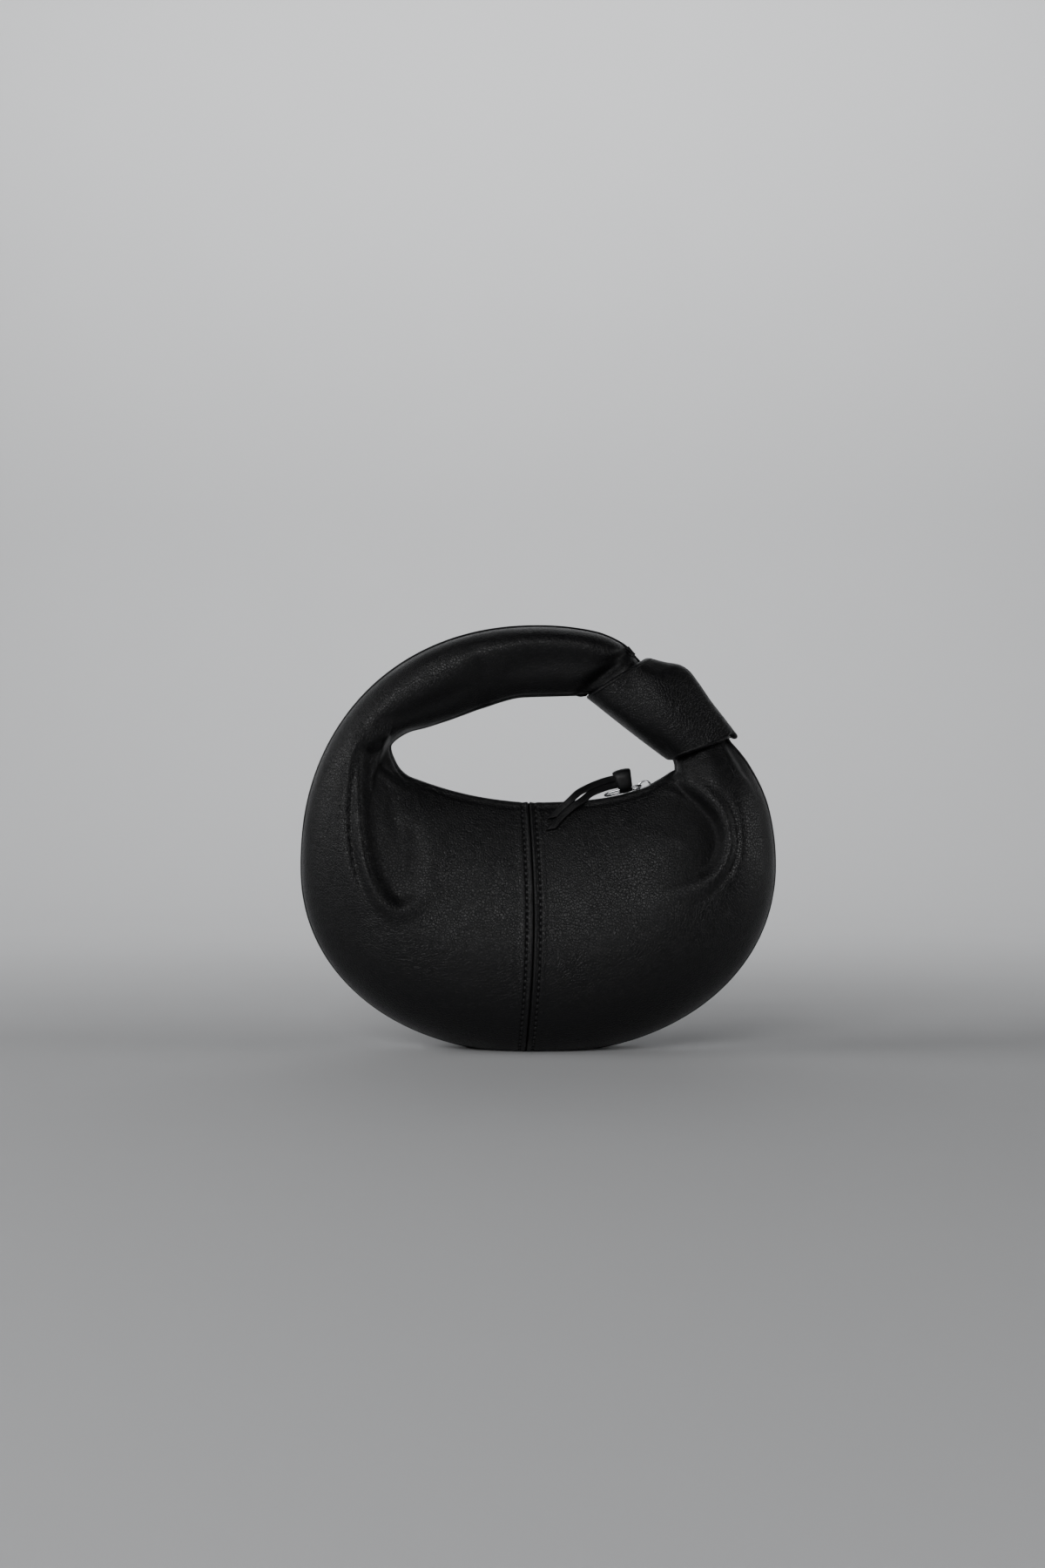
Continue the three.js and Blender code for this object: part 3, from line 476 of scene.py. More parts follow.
@dataclass(frozen=True)
class Leather(Finish):
    """Pebbled, softly shining leather. Lengths are in metres.

    Fields:
        colour, lit: the dye's tone with painted shade, in the grain's furrows and the stitch holes, and its paler
            tone with painted light, on the grain's tops.
        rough, patches: the lowest and highest roughness, and the scale of its patches.
        matt: how much rougher the folds, the furrows and the stitch holes are.
        grain, lines, broad: the pebbles, the fine slanting creases and the broad unevenness.
        drawn, lean, line_wide: the creases' scale on each axis, their slant in degrees, and their width.
        sheen: the shader's specular level.
        stitched: the stitches beside the centre seam, where the leather has them.
    """

    colour: Colour = (0.002, 0.002, 0.0024)
    lit: Colour = (0.004, 0.004, 0.0046)
    rough: Span = (0.32, 0.43)
    patches: float = 45.0
    matt: Point = (0.26, 0.12, 0.6)
    grain: Relief = Relief(0.00014, 700.0, 0.8)
    lines: Relief = Relief(0.00022, 1.0, 0.1)
    broad: Relief = Relief(0.0012, 85.0, 0.2)
    drawn: Point = (60.0, 200.0, 420.0)
    lean: float = -24.0
    line_wide: float = 0.09
    sheen: float = 0.3
    stitched: "SeamProfile | None" = None

    def look(self, tree: Tree, place: Socket) -> Inputs:
        """Adds the grain and the creases as bumps, a mottled shine, a matt tone in the folds, and painted shade in
        the furrows and holes.

        Args:
            tree: The material's tree.
            place: The object's own coordinates.

        Returns:
            The shader's inputs.
        """
        grain = tree.add("Group", {"Vector": place, "Cell": self.grain.scale}, node_tree=GRAIN)
        # The furrows' mask: it makes them rougher and gives them painted shade in the base colour.
        painted_shade_mask = grain.outputs["Furrow"]
        in_folds, in_furrows, in_holes = self.matt
        rough = mottled(tree, place, self.patches, self.rough)
        rough = tree.math("MULTIPLY_ADD", tree.attribute("folded"), in_folds, rough)
        rough = tree.math("MULTIPLY_ADD", painted_shade_mask, in_furrows, rough)
        turned = tree.add("Mapping", {"Vector": place, "Rotation": (0.0, math.radians(self.lean), 0.0)}).outputs[0]
        drawn = tree.add("Mapping", {"Vector": turned, "Scale": self.drawn}).outputs[0]
        noise: Inputs = {"Vector": drawn, "Scale": self.lines.scale, "Detail": 3.0, "Distortion": 0.6}
        creases = tree.math("SUBTRACT", tree.add("TexNoise", noise).outputs[0], 0.5)
        soft = tree.ranged(tree.math("ABSOLUTE", creases), 0.0, self.line_wide, 0.0, 1.0)
        broad = tree.add("TexNoise", {"Vector": place, "Scale": self.broad.scale, "Detail": 2.0}).outputs[0]
        normal = tree.bump(soft, self.lines, tree.bump(broad, self.broad))
        normal = tree.bump(grain.outputs["Height"], self.grain, normal)
        if self.stitched:
            hole = self.holes(tree)
            # The stitch holes get the same painted shade in the base colour as the grain's furrows.
            painted_shade_mask = tree.math("MAXIMUM", painted_shade_mask, hole)
            rough = tree.math("MULTIPLY_ADD", hole, in_holes, rough)
            deep = self.stitched.hole_deep * MM
            sunk: Inputs = {"Height": hole, "Strength": 1.0, "Distance": deep, "Normal": normal}
            normal = tree.add("Bump", sunk, invert=True).outputs[0]
        # Painted shade and light: the base colour is darker in the furrows and the stitch holes, and paler on the
        # grain's tops.
        tone = tree.mix(painted_shade_mask, self.lit, self.colour)
        return {"Base Color": tone, "Roughness": rough, "Normal": normal, "Specular IOR Level": self.sheen}

    def holes(self, tree: Tree) -> Socket:
        """Marks the holes that the stitches go into.

        A hole lies half way between two stitches. It fades out by the larger of its distances along and across the
        row, each as a share of its size.

        Args:
            tree: The material's tree.

        Returns:
            A value that is 1 in the middle of a hole and 0 outside the holes.
        """
        seam = self.stitched
        aside = tree.math("SUBTRACT", tree.attribute("from_seam"), seam.stitch_at)
        across = tree.math("DIVIDE", tree.math("ABSOLUTE", aside), seam.hole[1])
        steps = tree.math("DIVIDE", tree.math("SUBTRACT", tree.attribute("along_seam"), seam.clear), seam.pitch)
        middle = tree.math("ABSOLUTE", tree.math("SUBTRACT", tree.math("FRACT", steps), 0.5))
        along = tree.math("DIVIDE", tree.math("MULTIPLY", middle, seam.pitch), seam.hole[0])
        return tree.ranged(tree.math("MAXIMUM", across, along), seam.hole_flat, 1.0, 1.0, 0.0)


@dataclass(frozen=True)
class Plain(Finish):
    """A dull, nearly plain finish: painted edges, thread and the studio's paper.

    Fields:
        colour: its colour.
        rough, patch: the lowest and highest roughness, and how many bumps lie across a patch of it.
        relief: its unevenness.
    """

    colour: Colour
    rough: Span
    relief: Relief
    patch: float = 8.0

    def look(self, tree: Tree, place: Socket) -> Inputs:
        """Adds a mottled roughness over a slightly uneven surface.

        Args:
            tree: The material's tree.
            place: The object's own coordinates.

        Returns:
            The shader's inputs.
        """
        noise = tree.add("TexNoise", {"Vector": place, "Scale": self.relief.scale, "Detail": 3.0})
        rough = mottled(tree, place, self.relief.scale / self.patch, self.rough)
        normal = tree.bump(noise.outputs[0], self.relief)
        return {"Base Color": (*self.colour, 1), "Roughness": rough, "Normal": normal}


@dataclass(frozen=True)
class Woven(Finish):
    """A tight plain weave of fine yarn, as on a zip's tape. Lengths are in metres.

    Fields:
        colour, lit: the yarn's tone with painted shade in the gaps, and with painted light on its crowns.
        rough: its roughness.
        crown: the relief of the yarn's crowns, and how many yarns lie in a metre.
    """

    colour: Colour = (0.006, 0.006, 0.007)
    lit: Colour = (0.03, 0.03, 0.033)
    rough: float = 0.85
    crown: Relief = Relief(0.000125, 2000.0, 0.8)

    def look(self, tree: Tree, place: Socket) -> Inputs:
        """Adds two crossed waves of yarn as bump, and as tone with painted shade in the gaps and painted light on
        the crowns.

        Args:
            tree: The material's tree.
            place: The object's own coordinates.

        Returns:
            The shader's inputs.
        """
        part = tree.add("SeparateXYZ", {0: place})
        turns = 2 * math.pi * self.crown.scale
        along, across = (tree.math("SINE", tree.math("MULTIPLY", part.outputs[axis], turns)) for axis in "XY")
        weave = tree.ranged(tree.math("MULTIPLY", along, across), -1.0, 1.0, 0.0, 1.0)
        # Painted light and shade: the yarn's colour is paler on the crowns and darker in the gaps.
        tone = tree.mix(weave, self.colour, self.lit)
        return {"Base Color": tone, "Roughness": self.rough, "Normal": tree.bump(weave, self.crown)}


@dataclass(frozen=True)
class Polished(Finish):
    """Polished metal with faint handling marks. Lengths are in metres.

    Fields:
        colour: the metal's colour.
        rough, patches: the lowest and highest roughness, and the scale of its patches.
        drawn, hair: the scale of the hairline scratches on each axis, and their relief.
    """

    colour: Colour = (0.72, 0.72, 0.74)
    rough: Span = (0.14, 0.3)
    patches: float = 500.0
    drawn: Point = (300.0, 6000.0, 3000.0)
    hair: Relief = Relief(0.00002, 1.0, 0.2)

    def look(self, tree: Tree, place: Socket) -> Inputs:
        """Adds full metal, with a mottled roughness and hairline scratches.

        Args:
            tree: The material's tree.
            place: The object's own coordinates.

        Returns:
            The shader's inputs.
        """
        drawn = tree.add("Mapping", {"Vector": place, "Scale": self.drawn}).outputs[0]
        hairs = tree.add("TexNoise", {"Vector": drawn, "Scale": self.hair.scale, "Detail": 2.0})
        rough = mottled(tree, place, self.patches, self.rough)
        normal = tree.bump(hairs.outputs[0], self.hair)
        return {"Base Color": (*self.colour, 1), "Metallic": 1.0, "Roughness": rough, "Normal": normal}


# The ring of leather


@dataclass(frozen=True)
class Section:
    """A section of the ring from the outline to the loop.

    Fields:
        turn: its place on the outline, in degrees from +X.
        tuck: how far the outline is drawn in, as a share of half the width.
        loop_x, loop_z: its inner end, as shares of half the loop.
        depth, peak: the bulge's share of half the depth, and its place on the way in.
        outer, inner: the roundness of the two flanks.
        lip: the share of half the mouth left open.
    """

    turn: float
    tuck: float
    loop_x: float
    loop_z: float
    depth: float
    peak: float
    outer: float
    inner: float
    lip: float


SECTIONS = (
    Section(47.5, 0.1, 0.78, 0.42, 0.25, 0.5, 2, 2, 0),
    Section(56, 0.083, 0.6, 0.78, 0.29, 0.44, 2, 1.95, 0),
    Section(64, 0.056, 0.4, 1.04, 0.34, 0.38, 2, 1.85, 0),
    Section(70, 0.014, 0.3, 1.01, 0.4, 0.34, 2, 1.8, 0),
    Section(77, 0, 0.2, 1.0, 0.43, 0.32, 2, 1.75, 0),
    Section(92, 0, -0.07, 0.977, 0.44, 0.32, 2, 1.75, 0),
    Section(106, 0, -0.35, 0.78, 0.45, 0.36, 2, 1.8, 0),
    Section(120, 0, -0.57, 0.57, 0.48, 0.42, 2, 1.9, 0),
    Section(134, 0, -0.745, 0.42, 0.52, 0.46, 2, 2, 0),
    Section(148, 0, -0.88, 0.32, 0.57, 0.49, 2, 1.95, 0),
    Section(163, 0, -1, 0.05, 0.63, 0.52, 2, 1.9, 0.02),
    Section(180, 0, -0.96, -0.26, 0.71, 0.54, 2.05, 1.8, 0.2),
    Section(197, 0, -0.89, -0.47, 0.8, 0.51, 2.1, 1.7, 0.5),
    Section(212, 0, -0.78, -0.595, 0.88, 0.46, 2.15, 1.6, 0.72),
    Section(227, 0, -0.625, -0.734, 0.95, 0.4, 2.2, 1.52, 0.88),
    Section(242, 0, -0.423, -0.87, 0.985, 0.38, 2.2, 1.5, 0.96),
    Section(256, 0, -0.21, -0.96, 1, 0.38, 2.2, 1.5, 1),
    Section(267.5, 0, -0.03, -1, 1, 0.38, 2.2, 1.5, 1),
    Section(284, 0, 0.22, -0.985, 1, 0.38, 2.2, 1.5, 1),
    Section(298, 0, 0.448, -0.935, 0.985, 0.38, 2.2, 1.5, 1),
    Section(313, 0, 0.614, -0.855, 0.95, 0.4, 2.2, 1.52, 0.95),
    Section(328, 0, 0.786, -0.71, 0.88, 0.42, 2.15, 1.6, 0.84),
    Section(343, 0, 0.89, -0.56, 0.8, 0.44, 2.1, 1.7, 0.62),
    Section(358, 0, 0.97, -0.42, 0.7, 0.46, 2.05, 1.8, 0.25),
    Section(372, 0.004, 1.0, -0.37, 0.6, 0.48, 2, 1.9, 0.02),
    Section(384, 0.026, 1.0, -0.3, 0.46, 0.5, 2, 2, 0),
    Section(392, 0.052, 0.985, -0.17, 0.34, 0.5, 2, 2, 0),
    Section(400, 0.083, 0.93, 0.12, 0.29, 0.5, 2, 2, 0),
    Section(407.5, 0.1, 0.78, 0.42, 0.25, 0.5, 2, 2, 0),
)


def table_columns(turn: Array) -> dict[str, Array]:
    """Reads the sections at any turns.

    Between two rows each column is a cubic. Its slope at a row is the harmonic mean of the rises on both sides, or
    0 where they differ in sign, so that it never overshoots.

    Args:
        turn: The turns.

    Returns:
        An array like turn for each column.
    """
    knots = np.array([row.turn for row in SECTIONS])
    k = np.clip(np.searchsorted(knots, turn, "right") - 1, 0, len(knots) - 2)
    span = knots[k + 1] - knots[k]
    t = (turn - knots[k]) / span
    columns = {}
    for key in ("tuck", "loop_x", "loop_z", "depth", "peak", "outer", "inner", "lip"):
        value = np.array([getattr(row, key) for row in SECTIONS], float)
        rise = np.diff(value) / np.diff(knots)
        before, after = rise[:-1], rise[1:]
        agree = before * after > 0
        mean = 2 * before * after / np.where(agree, before + after, 1)
        slope = np.concatenate([rise[:1], np.where(agree, mean, 0), rise[-1:]])
        columns[key] = cubic(value[k], value[k + 1], span * slope[k], span * slope[k + 1], t)
    return columns


@dataclass(frozen=True)
class Fold:
    """A fold in the leather, along a crest drawn in the front view.

    Fields:
        path: rows of x, z and the strength there.
        swell, breadth: how far the crest stands up (or lies down, if negative) and half its width.
        drop, edge, reach: how far the leather falls beside it, how soon, and how far it stays down.
        side: 1 where it falls on the left of the way that the path runs, and -1 on the right.
        back: the share of it that the back panel has.
    """

    path: Rows
    swell: float = 0.0
    breadth: float = 5.0
    drop: float = 0.0
    edge: float = 4.0
    reach: float = 30.0
    side: int = 1
    back: float = 0.0

    STEPS = 6
    BLEND = 3.0
    MARGIN = 3.0

    def beside(self, x: Array, z: Array) -> tuple[Array, Array]:
        """Measures places against the path.

        The nearest of its short straight parts gives the distance, positive on the falling side. The strength
        blends the parts with weights that fall off by the exponential of how much farther they are.

        Args:
            x: Places in the front view.
            z: Their heights.

        Returns:
            The distances and strengths.
        """
        line = spline(np.array(self.path), self.STEPS)
        start, step = line[:-1, :2], np.diff(line[:, :2], axis=0)
        dx, dz = x[:, None] - start[:, 0], z[:, None] - start[:, 1]
        t = np.clip((dx * step[:, 0] + dz * step[:, 1]) / (step**2).sum(1), 0, 1)
        away = np.hypot(dx - t * step[:, 0], dz - t * step[:, 1])
        left = np.sign(step[:, 0] * dz - step[:, 1] * dx)
        nearest = away.argmin(1)
        rows = np.arange(len(x))
        least = away[rows, nearest]
        weight = np.exp((least[:, None] - away) / self.BLEND)
        strength = ((line[:-1, 2] + t * np.diff(line[:, 2])) * weight).sum(1) / weight.sum(1)
        return left[rows, nearest] * self.side * least, strength

    def rise(self, x: Array, z: Array) -> Array:
        """Works out how far the fold lifts the leather.

        The rise is the strength times a bell over the crest, less the drop beside it: 1 minus a narrow bell of the
        square of the distance, times a wide one of the distance.

        Args:
            x: Places in the front view.
            z: Their heights.

        Returns:
            The rise at each place, in millimetres.
        """
        margin = self.MARGIN * max(self.breadth, self.reach if self.drop else 0, self.BLEND)
        low, high = np.array(self.path)[:, :2].min(0) - margin, np.array(self.path)[:, :2].max(0) + margin
        near = (x > low[0]) & (x < high[0]) & (z > low[1]) & (z < high[1])
        total = np.zeros(x.shape)
        away, strength = self.beside(x[near], z[near])
        fall = np.where(away > 0, (1 - hump(away**2, self.edge**2)) * hump(away, self.reach), 0)
        total[near] = strength * (self.swell * hump(away, self.breadth) - self.drop * fall)
        return total


LEFT_FOLDS = (
    Fold(
        path=(
            (-60, 168, 0), (-68.9, 167.6, 0.2), (-80, 165.4, 0.28), (-89, 163.2, 0.34), (-94.6, 159.5, 0.5),
            (-96, 152, 0.8), (-96, 138, 1), (-95.6, 124, 1), (-94, 107, 1), (-91.4, 95, 1),
            (-87.6, 85.4, 0.95), (-81.6, 76.4, 0.75), (-73.8, 72.2, 0.45), (-65, 75.4, 0.2), (-56, 82, 0),
        ),
        swell=4.0, breadth=4.8, drop=4.8, edge=5.6, reach=26, back=0.6,
    ),
    Fold(
        path=((-95.8, 168, 0), (-101.4, 154, 0.8), (-103.4, 138, 1), (-104, 122, 1), (-102.8, 104, 1),
              (-99.2, 88, 0.8), (-93.8, 74, 0)),
        swell=1.0, breadth=4.8, drop=4.2, edge=4.7, reach=7.0, back=0.4,
    ),
    Fold(
        path=((-30, 217, 0), (-44, 212.4, 0.6), (-59, 204, 0.9), (-71, 194.6, 0.9), (-83, 182.6, 0.9),
              (-94.6, 169, 0.9), (-102.8, 152, 0.8), (-105.4, 126, 0.8), (-104.4, 100, 0.8), (-99, 80, 0.6),
              (-92, 66, 0)),
        swell=1.8, breadth=7.0, back=0.4,
    ),
    Fold(
        path=((-79.6, 164.6, 0.9), (-82.2, 158, 1), (-85.2, 151, 1), (-88, 144.6, 0.9), (-88.8, 136, 0)),
        swell=1.8, breadth=1.3, drop=2.4, edge=1.3, reach=7, side=1,
    ),
    Fold(
        path=((-83.8, 149.6, 0.6), (-78.4, 145.6, 1), (-73.4, 141.6, 0.8), (-67.4, 138.4, 0)),
        swell=-1.5, breadth=1.5,
    ),
    Fold(path=((-84.6, 146, 0.4), (-79, 142, 1), (-73, 139, 0.9), (-66, 135.6, 0)), swell=1.1, breadth=2.0),
    Fold(path=((-65.8, 138.6, 0.5), (-63.8, 134, 1), (-62.6, 128, 0)), swell=0.9, breadth=1.3),
    Fold(
        path=((-69.6, 133.5, 0), (-75.6, 129.6, 0.9), (-77.6, 123, 1), (-75, 116, 0.8), (-74, 108, 0.4),
              (-73.6, 98, 0)),
        swell=-0.9, breadth=3.4,
    ),
    Fold(
        path=((-66, 122, 0), (-65.6, 112, 0.7), (-66.4, 98, 1), (-68.6, 88, 0.8), (-72, 80, 0)),
        swell=-1.3, breadth=5.2,
    ),
    Fold(
        path=((-84, 169, 0), (-71, 180.4, 0.6), (-60.7, 189.6, 0.8), (-52.5, 194.3, 0.8), (-42, 201.6, 0.8),
              (-29, 210, 0.9), (-10, 215.8, 1), (14, 216.8, 1), (34, 213, 0.9), (47, 208, 0.6)),
        swell=1.6, breadth=6.6, back=0.4,
    ),
    Fold(
        path=((-33, 209, 0), (-31.4, 203, 0.7), (-30.2, 194, 1), (-29.6, 186, 1), (-29, 178, 0.7)),
        swell=-2.2, breadth=4.6, back=0.4,
    ),
    Fold(
        path=((-27, 190, 0), (-12, 200.5, 0.8), (6, 204, 1), (24, 203, 1), (38, 200, 0.6)),
        swell=-1.4, breadth=6.4, back=0.4,
    ),
    Fold(
        path=((-90, 168.6, 0), (-76, 174, 0.9), (-60, 180.6, 1), (-44, 187.6, 0.7), (-34, 192, 0)),
        swell=-1.4, breadth=4.4,
    ),
    Fold(path=((50.5, 214, 1), (45, 206.5, 1), (36, 199, 1), (22.5, 189, 1)), swell=-4.2, breadth=3.4, back=1),
    Fold(path=((55.5, 209, 1), (49, 209.4, 1), (40, 206.5, 0.7), (31, 203, 0)), swell=-2.0, breadth=1.9),
)

RIGHT_FOLDS = (
    Fold(
        path=(
            (66, 160, 0), (74, 150.6, 0.5), (82, 141.4, 0.85), (91, 133.4, 1), (98.6, 124.6, 1),
            (102.4, 114.5, 1), (102.6, 105, 0.95), (99.2, 96, 0.8), (92.4, 88.2, 0.5), (78, 81.4, 0.2),
            (62, 77, 0),
        ),
        swell=1.6, breadth=3.6, drop=6.6, edge=6.0, reach=25, side=-1, back=0.6,
    ),
    Fold(
        path=((98, 134, 0), (103, 124, 0.7), (105.2, 114, 1), (105.2, 105, 1), (102.6, 96, 0.9),
              (96.6, 87, 0.6), (87, 78, 0.2), (76, 71, 0)),
        swell=-1.5, breadth=1.9, back=0.4,
    ),
    Fold(
        path=((103, 138, 0), (108, 124, 0.8), (109.4, 109, 1), (107, 95, 0.8), (101, 82, 0)),
        swell=1.5, breadth=4.2, back=0.4,
    ),
    Fold(
        path=((93.4, 168, 1), (95.4, 164, 1), (98.9, 157.6, 1), (103.2, 150.4, 1), (107, 144.2, 0.8),
              (111.2, 138, 0.4), (114, 132, 0)),
        swell=1.1, breadth=2.2, drop=2.6, edge=2.2, reach=9, side=1,
    ),
    Fold(
        path=((73, 148.5, 0), (80, 136.5, 0.9), (87, 128, 1), (93, 119, 1), (95.2, 110, 0.8), (94, 101, 0)),
        swell=-0.6, breadth=5.6, back=0.4,
    ),
    Fold(path=((60, 140.5, 0), (68, 142.4, 1), (75, 140, 0.6), (80, 136, 0)), swell=0.7, breadth=1.7),
    Fold(path=((60, 136.6, 0), (68, 136.6, 1), (76, 133.6, 0.7), (83, 128, 0)), swell=0.6, breadth=1.9),
    Fold(path=((80, 172, 0.6), (87.5, 158, 1), (94.5, 143, 0.8), (101, 128, 0)), swell=1.0, breadth=7.0, back=0.4),
    Fold(path=((66.5, 153, 1), (76, 157, 1), (88, 163, 1), (99, 169, 1)), swell=-2.2, breadth=3.2, back=1),
)


@dataclass(frozen=True)
class Ring:
    """The form of the leather ring.

    Fields:
        width, height, depth: the bag's size, and waist the height where it is widest.
        power_left, power_right: how square the two sides of the outline are.
        sink: how far the outline reaches under the floor before it is flattened there.
        loop, loop_at: the loop's width and height, and its middle.
        leather, mouth, gap: the wall, the mouth's width and what lies between touching pieces.
        edging: the thickness of the edging between the front and the back.
        seam: the turn of the centre seam.
        seam_bow, seam_bow_turns: how far it bows to the right half way up, and over how many degrees on each side.
        knot: the turns where the ring goes into the knot.
        pressed_least: the least lift that a fold leaves over the middle plane.
        viewer: the point in front from which the folds are seen where their paths lie on the middle plane.
    """

    width: float = 250.0
    height: float = 223.0
    depth: float = 77.0
    waist: float = 97.0
    power_left: float = 2.15
    power_right: float = 2.08
    sink: float = 2.0
    loop: Span = (150.4, 56.7)
    loop_at: Span = (-2.8, 158.0)
    leather: float = 1.8
    mouth: float = 18.0
    gap: float = 0.3
    edging: float = 1.2
    seam: float = 267.5
    seam_bow: float = 3.4
    seam_bow_turns: float = 22.0
    knot: Span = (48.5, 406.5)
    pressed_least: float = 2.1
    viewer: Point = (-8.3, -1015.0, 139.8)

    FADE = 2.0

    def seen(self, x: Array, z: Array, lift: Array) -> tuple[Array, Array]:
        """Finds where the viewer sees points on the middle plane.

        Args:
            x: Their places from left to right.
            z: Their heights.
            lift: How far they stand in front of the middle plane.

        Returns:
            The places and heights on the middle plane.
        """
        nearer = 1 + lift / self.viewer[1]
        return self.viewer[0] + (x - self.viewer[0]) / nearer, self.viewer[2] + (z - self.viewer[2]) / nearer

    def outline(self, turn: Array, tuck: Array) -> tuple[Array, Array]:
        """Gives the outline: an ellipse whose cosine and sine are raised to a power, wide at the waist.

        Args:
            turn: Places round the ring.
            tuck: How far the outline is drawn in there.

        Returns:
            The x and z of each place.
        """
        cos, sin = np.cos(np.radians(turn)), np.sin(np.radians(turn))
        power = 2 / np.where(cos < 0, self.power_left, self.power_right)
        up = np.where(sin > 0, self.height - self.waist, self.waist + self.sink)
        return (self.width / 2 - tuck) * powered(cos, power), self.waist + (up - tuck) * powered(sin, power)

    def section(self, turn: Array) -> dict[str, Array]:
        """Reads the sections at any turns.

        Args:
            turn: Places round the ring.

        Returns:
            The table's columns, with the two ends, the depth in millimetres and the closing angle.
        """
        row = table_columns(turn)
        row["out_x"], row["out_z"] = self.outline(turn, row["tuck"] * self.width / 2)
        row["in_x"] = self.loop_at[0] + row["loop_x"] * self.loop[0] / 2
        row["in_z"] = self.loop_at[1] + row["loop_z"] * self.loop[1] / 2
        row["depth"] = row["depth"] * self.depth / 2 - self.edging / 2 - self.gap
        row["lip_half"] = np.maximum(row["lip"], 0) * self.mouth / 2
        open_share = np.minimum(row["lip_half"] / row["depth"], 1)
        row["close"] = np.pi - np.arcsin(open_share ** (row["inner"] / 2))
        return row

    @staticmethod
    def ends(row: dict[str, Array]) -> tuple[Array, Array]:
        """Gives the two ends of sections on the middle plane, at the outline and at the loop."""
        middle = np.zeros_like(row["out_x"])
        return tuple(np.stack([row[end + "_x"], middle, row[end + "_z"]], -1) for end in ("out", "in"))

    def place(self, turn: Array, way: Array, face: Face, folds: tuple[Fold, ...] = ()) -> tuple[Array, Array]:
        """Puts points on the leather's outside.

        Along a section the angle runs from 0 to its closing angle. The share of the way in is the peak times 1
        minus the cosine to a power, and past the peak the rest of the way times the cosine to a power. The lift
        off the middle plane is the depth times the sine to that power, with the folds added.

        Args:
            turn: Places round the ring, as a column.
            way: Places across it, as rows.
            face: The side of the bag.
            folds: The folds pressed into it.

        Returns:
            The points, and how far the folds press each one in.
        """
        row = self.section(turn)
        angle = way * row["close"]
        outer = angle < np.pi / 2
        power = 2 / np.where(outer, row["outer"], row["inner"])
        cosine = np.abs(np.cos(angle)) ** power
        end = np.abs(np.cos(row["close"])) ** power
        share = np.where(outer, row["peak"] * (1 - cosine), row["peak"] + (1 - row["peak"]) * cosine / end)
        rise = np.maximum(np.sin(angle), 0) ** power
        seam = (1 - way) * self.edging / 2 + self.gap * (1 - way / 2)
        bow = self.seam_bow * np.sin(np.pi * share) * hump(turn - self.seam, self.seam_bow_turns)
        x = row["out_x"] + (row["in_x"] - row["out_x"]) * share + bow
        z = row["out_z"] + (row["in_z"] - row["out_z"]) * share
        bulge = row["depth"] * rise
        seen_x, seen_z = self.seen(x, z, seam + bulge)
        raised = np.zeros(x.size)
        for fold in folds:
            shown = 1.0 if face is Face.FRONT else fold.back
            if shown:
                raised += shown * fold.rise(seen_x.ravel(), seen_z.ravel())
        raised = raised.reshape(x.shape)
        from_edge = np.where(outer, rise, rise - row["lip_half"] / row["depth"])
        raised = raised * np.clip(from_edge * self.FADE, 0, 1)
        lift = seam + np.maximum(bulge + raised, np.minimum(bulge, self.pressed_least))
        return np.stack([x, face.value * lift, np.maximum(z, 0)], -1), -raised

    def zip_line(self, turn: Array, drop: float) -> tuple[Array, Array]:
        """Finds the zip between the lips of the mouth.

        Args:
            turn: Places round the ring.
            drop: How far the zip lies below the mouth's edge.

        Returns:
            Its middle line, and the half width that is free between the lips.
        """
        row = self.section(turn)
        out, loop = self.ends(row)
        return loop + unit(out - loop) * drop, row["lip_half"] - self.gap


def grid_normals(grid: Array) -> Array:
    """Gives the unit normals of a grid: the cross product of its slopes along the two ways of the grid."""
    return unit(np.cross(np.gradient(grid, axis=1), np.gradient(grid, axis=0)))


@dataclass(frozen=True)
class SeamProfile:
    """How the leather stands beside the centre seam: a groove, a turned bead, and a row of stitches in a furrow.

    Fields:
        rows: the distance from the seam, the height and the width of each part.
        stitch_at, pitch, stitch, thread: the stitches' place, step, length and thickness.
        clear: how far along the seam the middle of the first stitch lies.
        hole, hole_deep: half the length and width of the hole between two stitches, and its depth.
        hole_flat: the share of the hole's half size that has its full depth.
    """

    rows: Rows = ((0.0, -0.6, 0.3), (1.2, 0.5, 0.7), (3.5, -0.2, 0.6), (5.3, 0.15, 1.3))
    stitch_at: float = 3.5
    pitch: float = 3.3
    stitch: float = 2.2
    thread: float = 0.7
    clear: float = 5.0
    hole: Span = (1.0, 0.9)
    hole_deep: float = 0.6
    hole_flat: float = 0.45


@dataclass(frozen=True)
class Crumple:
    """Small creased facets in the folds: waves that run several ways in the front view, each bent by a slower one.

    Fields:
        waves: rows of a wave's bearing, in degrees, and its length.
        bend, slow: how far the slower wave shifts each one, in radians, and its length for one radian.
        stagger: how far each wave is shifted on from the last, in radians.
        full: the length of a wave that has the full height.
    """

    waves: tuple[Span, ...] = ((12, 9.0), (58, 7.0), (101, 11.0), (140, 6.0), (33, 4.5))
    bend: float = 1.4
    slow: float = 5.0
    stagger: float = 2.1
    full: float = 9.0

    def height(self, grid: Array) -> Array:
        """Adds up the sizes of the waves, each by its length.

        Args:
            grid: Points on the leather.

        Returns:
            The height at each point, from about -1 to 1.
        """
        x, z = grid[..., 0], grid[..., 2]
        total = np.zeros(x.shape)
        for k, (bearing, length) in enumerate(self.waves):
            angle = math.radians(bearing)
            run = x * math.cos(angle) + z * math.sin(angle)
            side = z * math.cos(angle) - x * math.sin(angle)
            shift = self.bend * np.sin(side / self.slow + k) + self.stagger * k
            total += np.abs(np.sin(2 * np.pi * run / length + shift)) * length / self.full
        return total / 2 - 1


CRUMPLE = Crumple()


@dataclass
class Skin:
    """The outside of a panel: its grid of points, their normals and named values at each point."""

    grid: Array
    normals: Array
    masks: dict[str, Array]


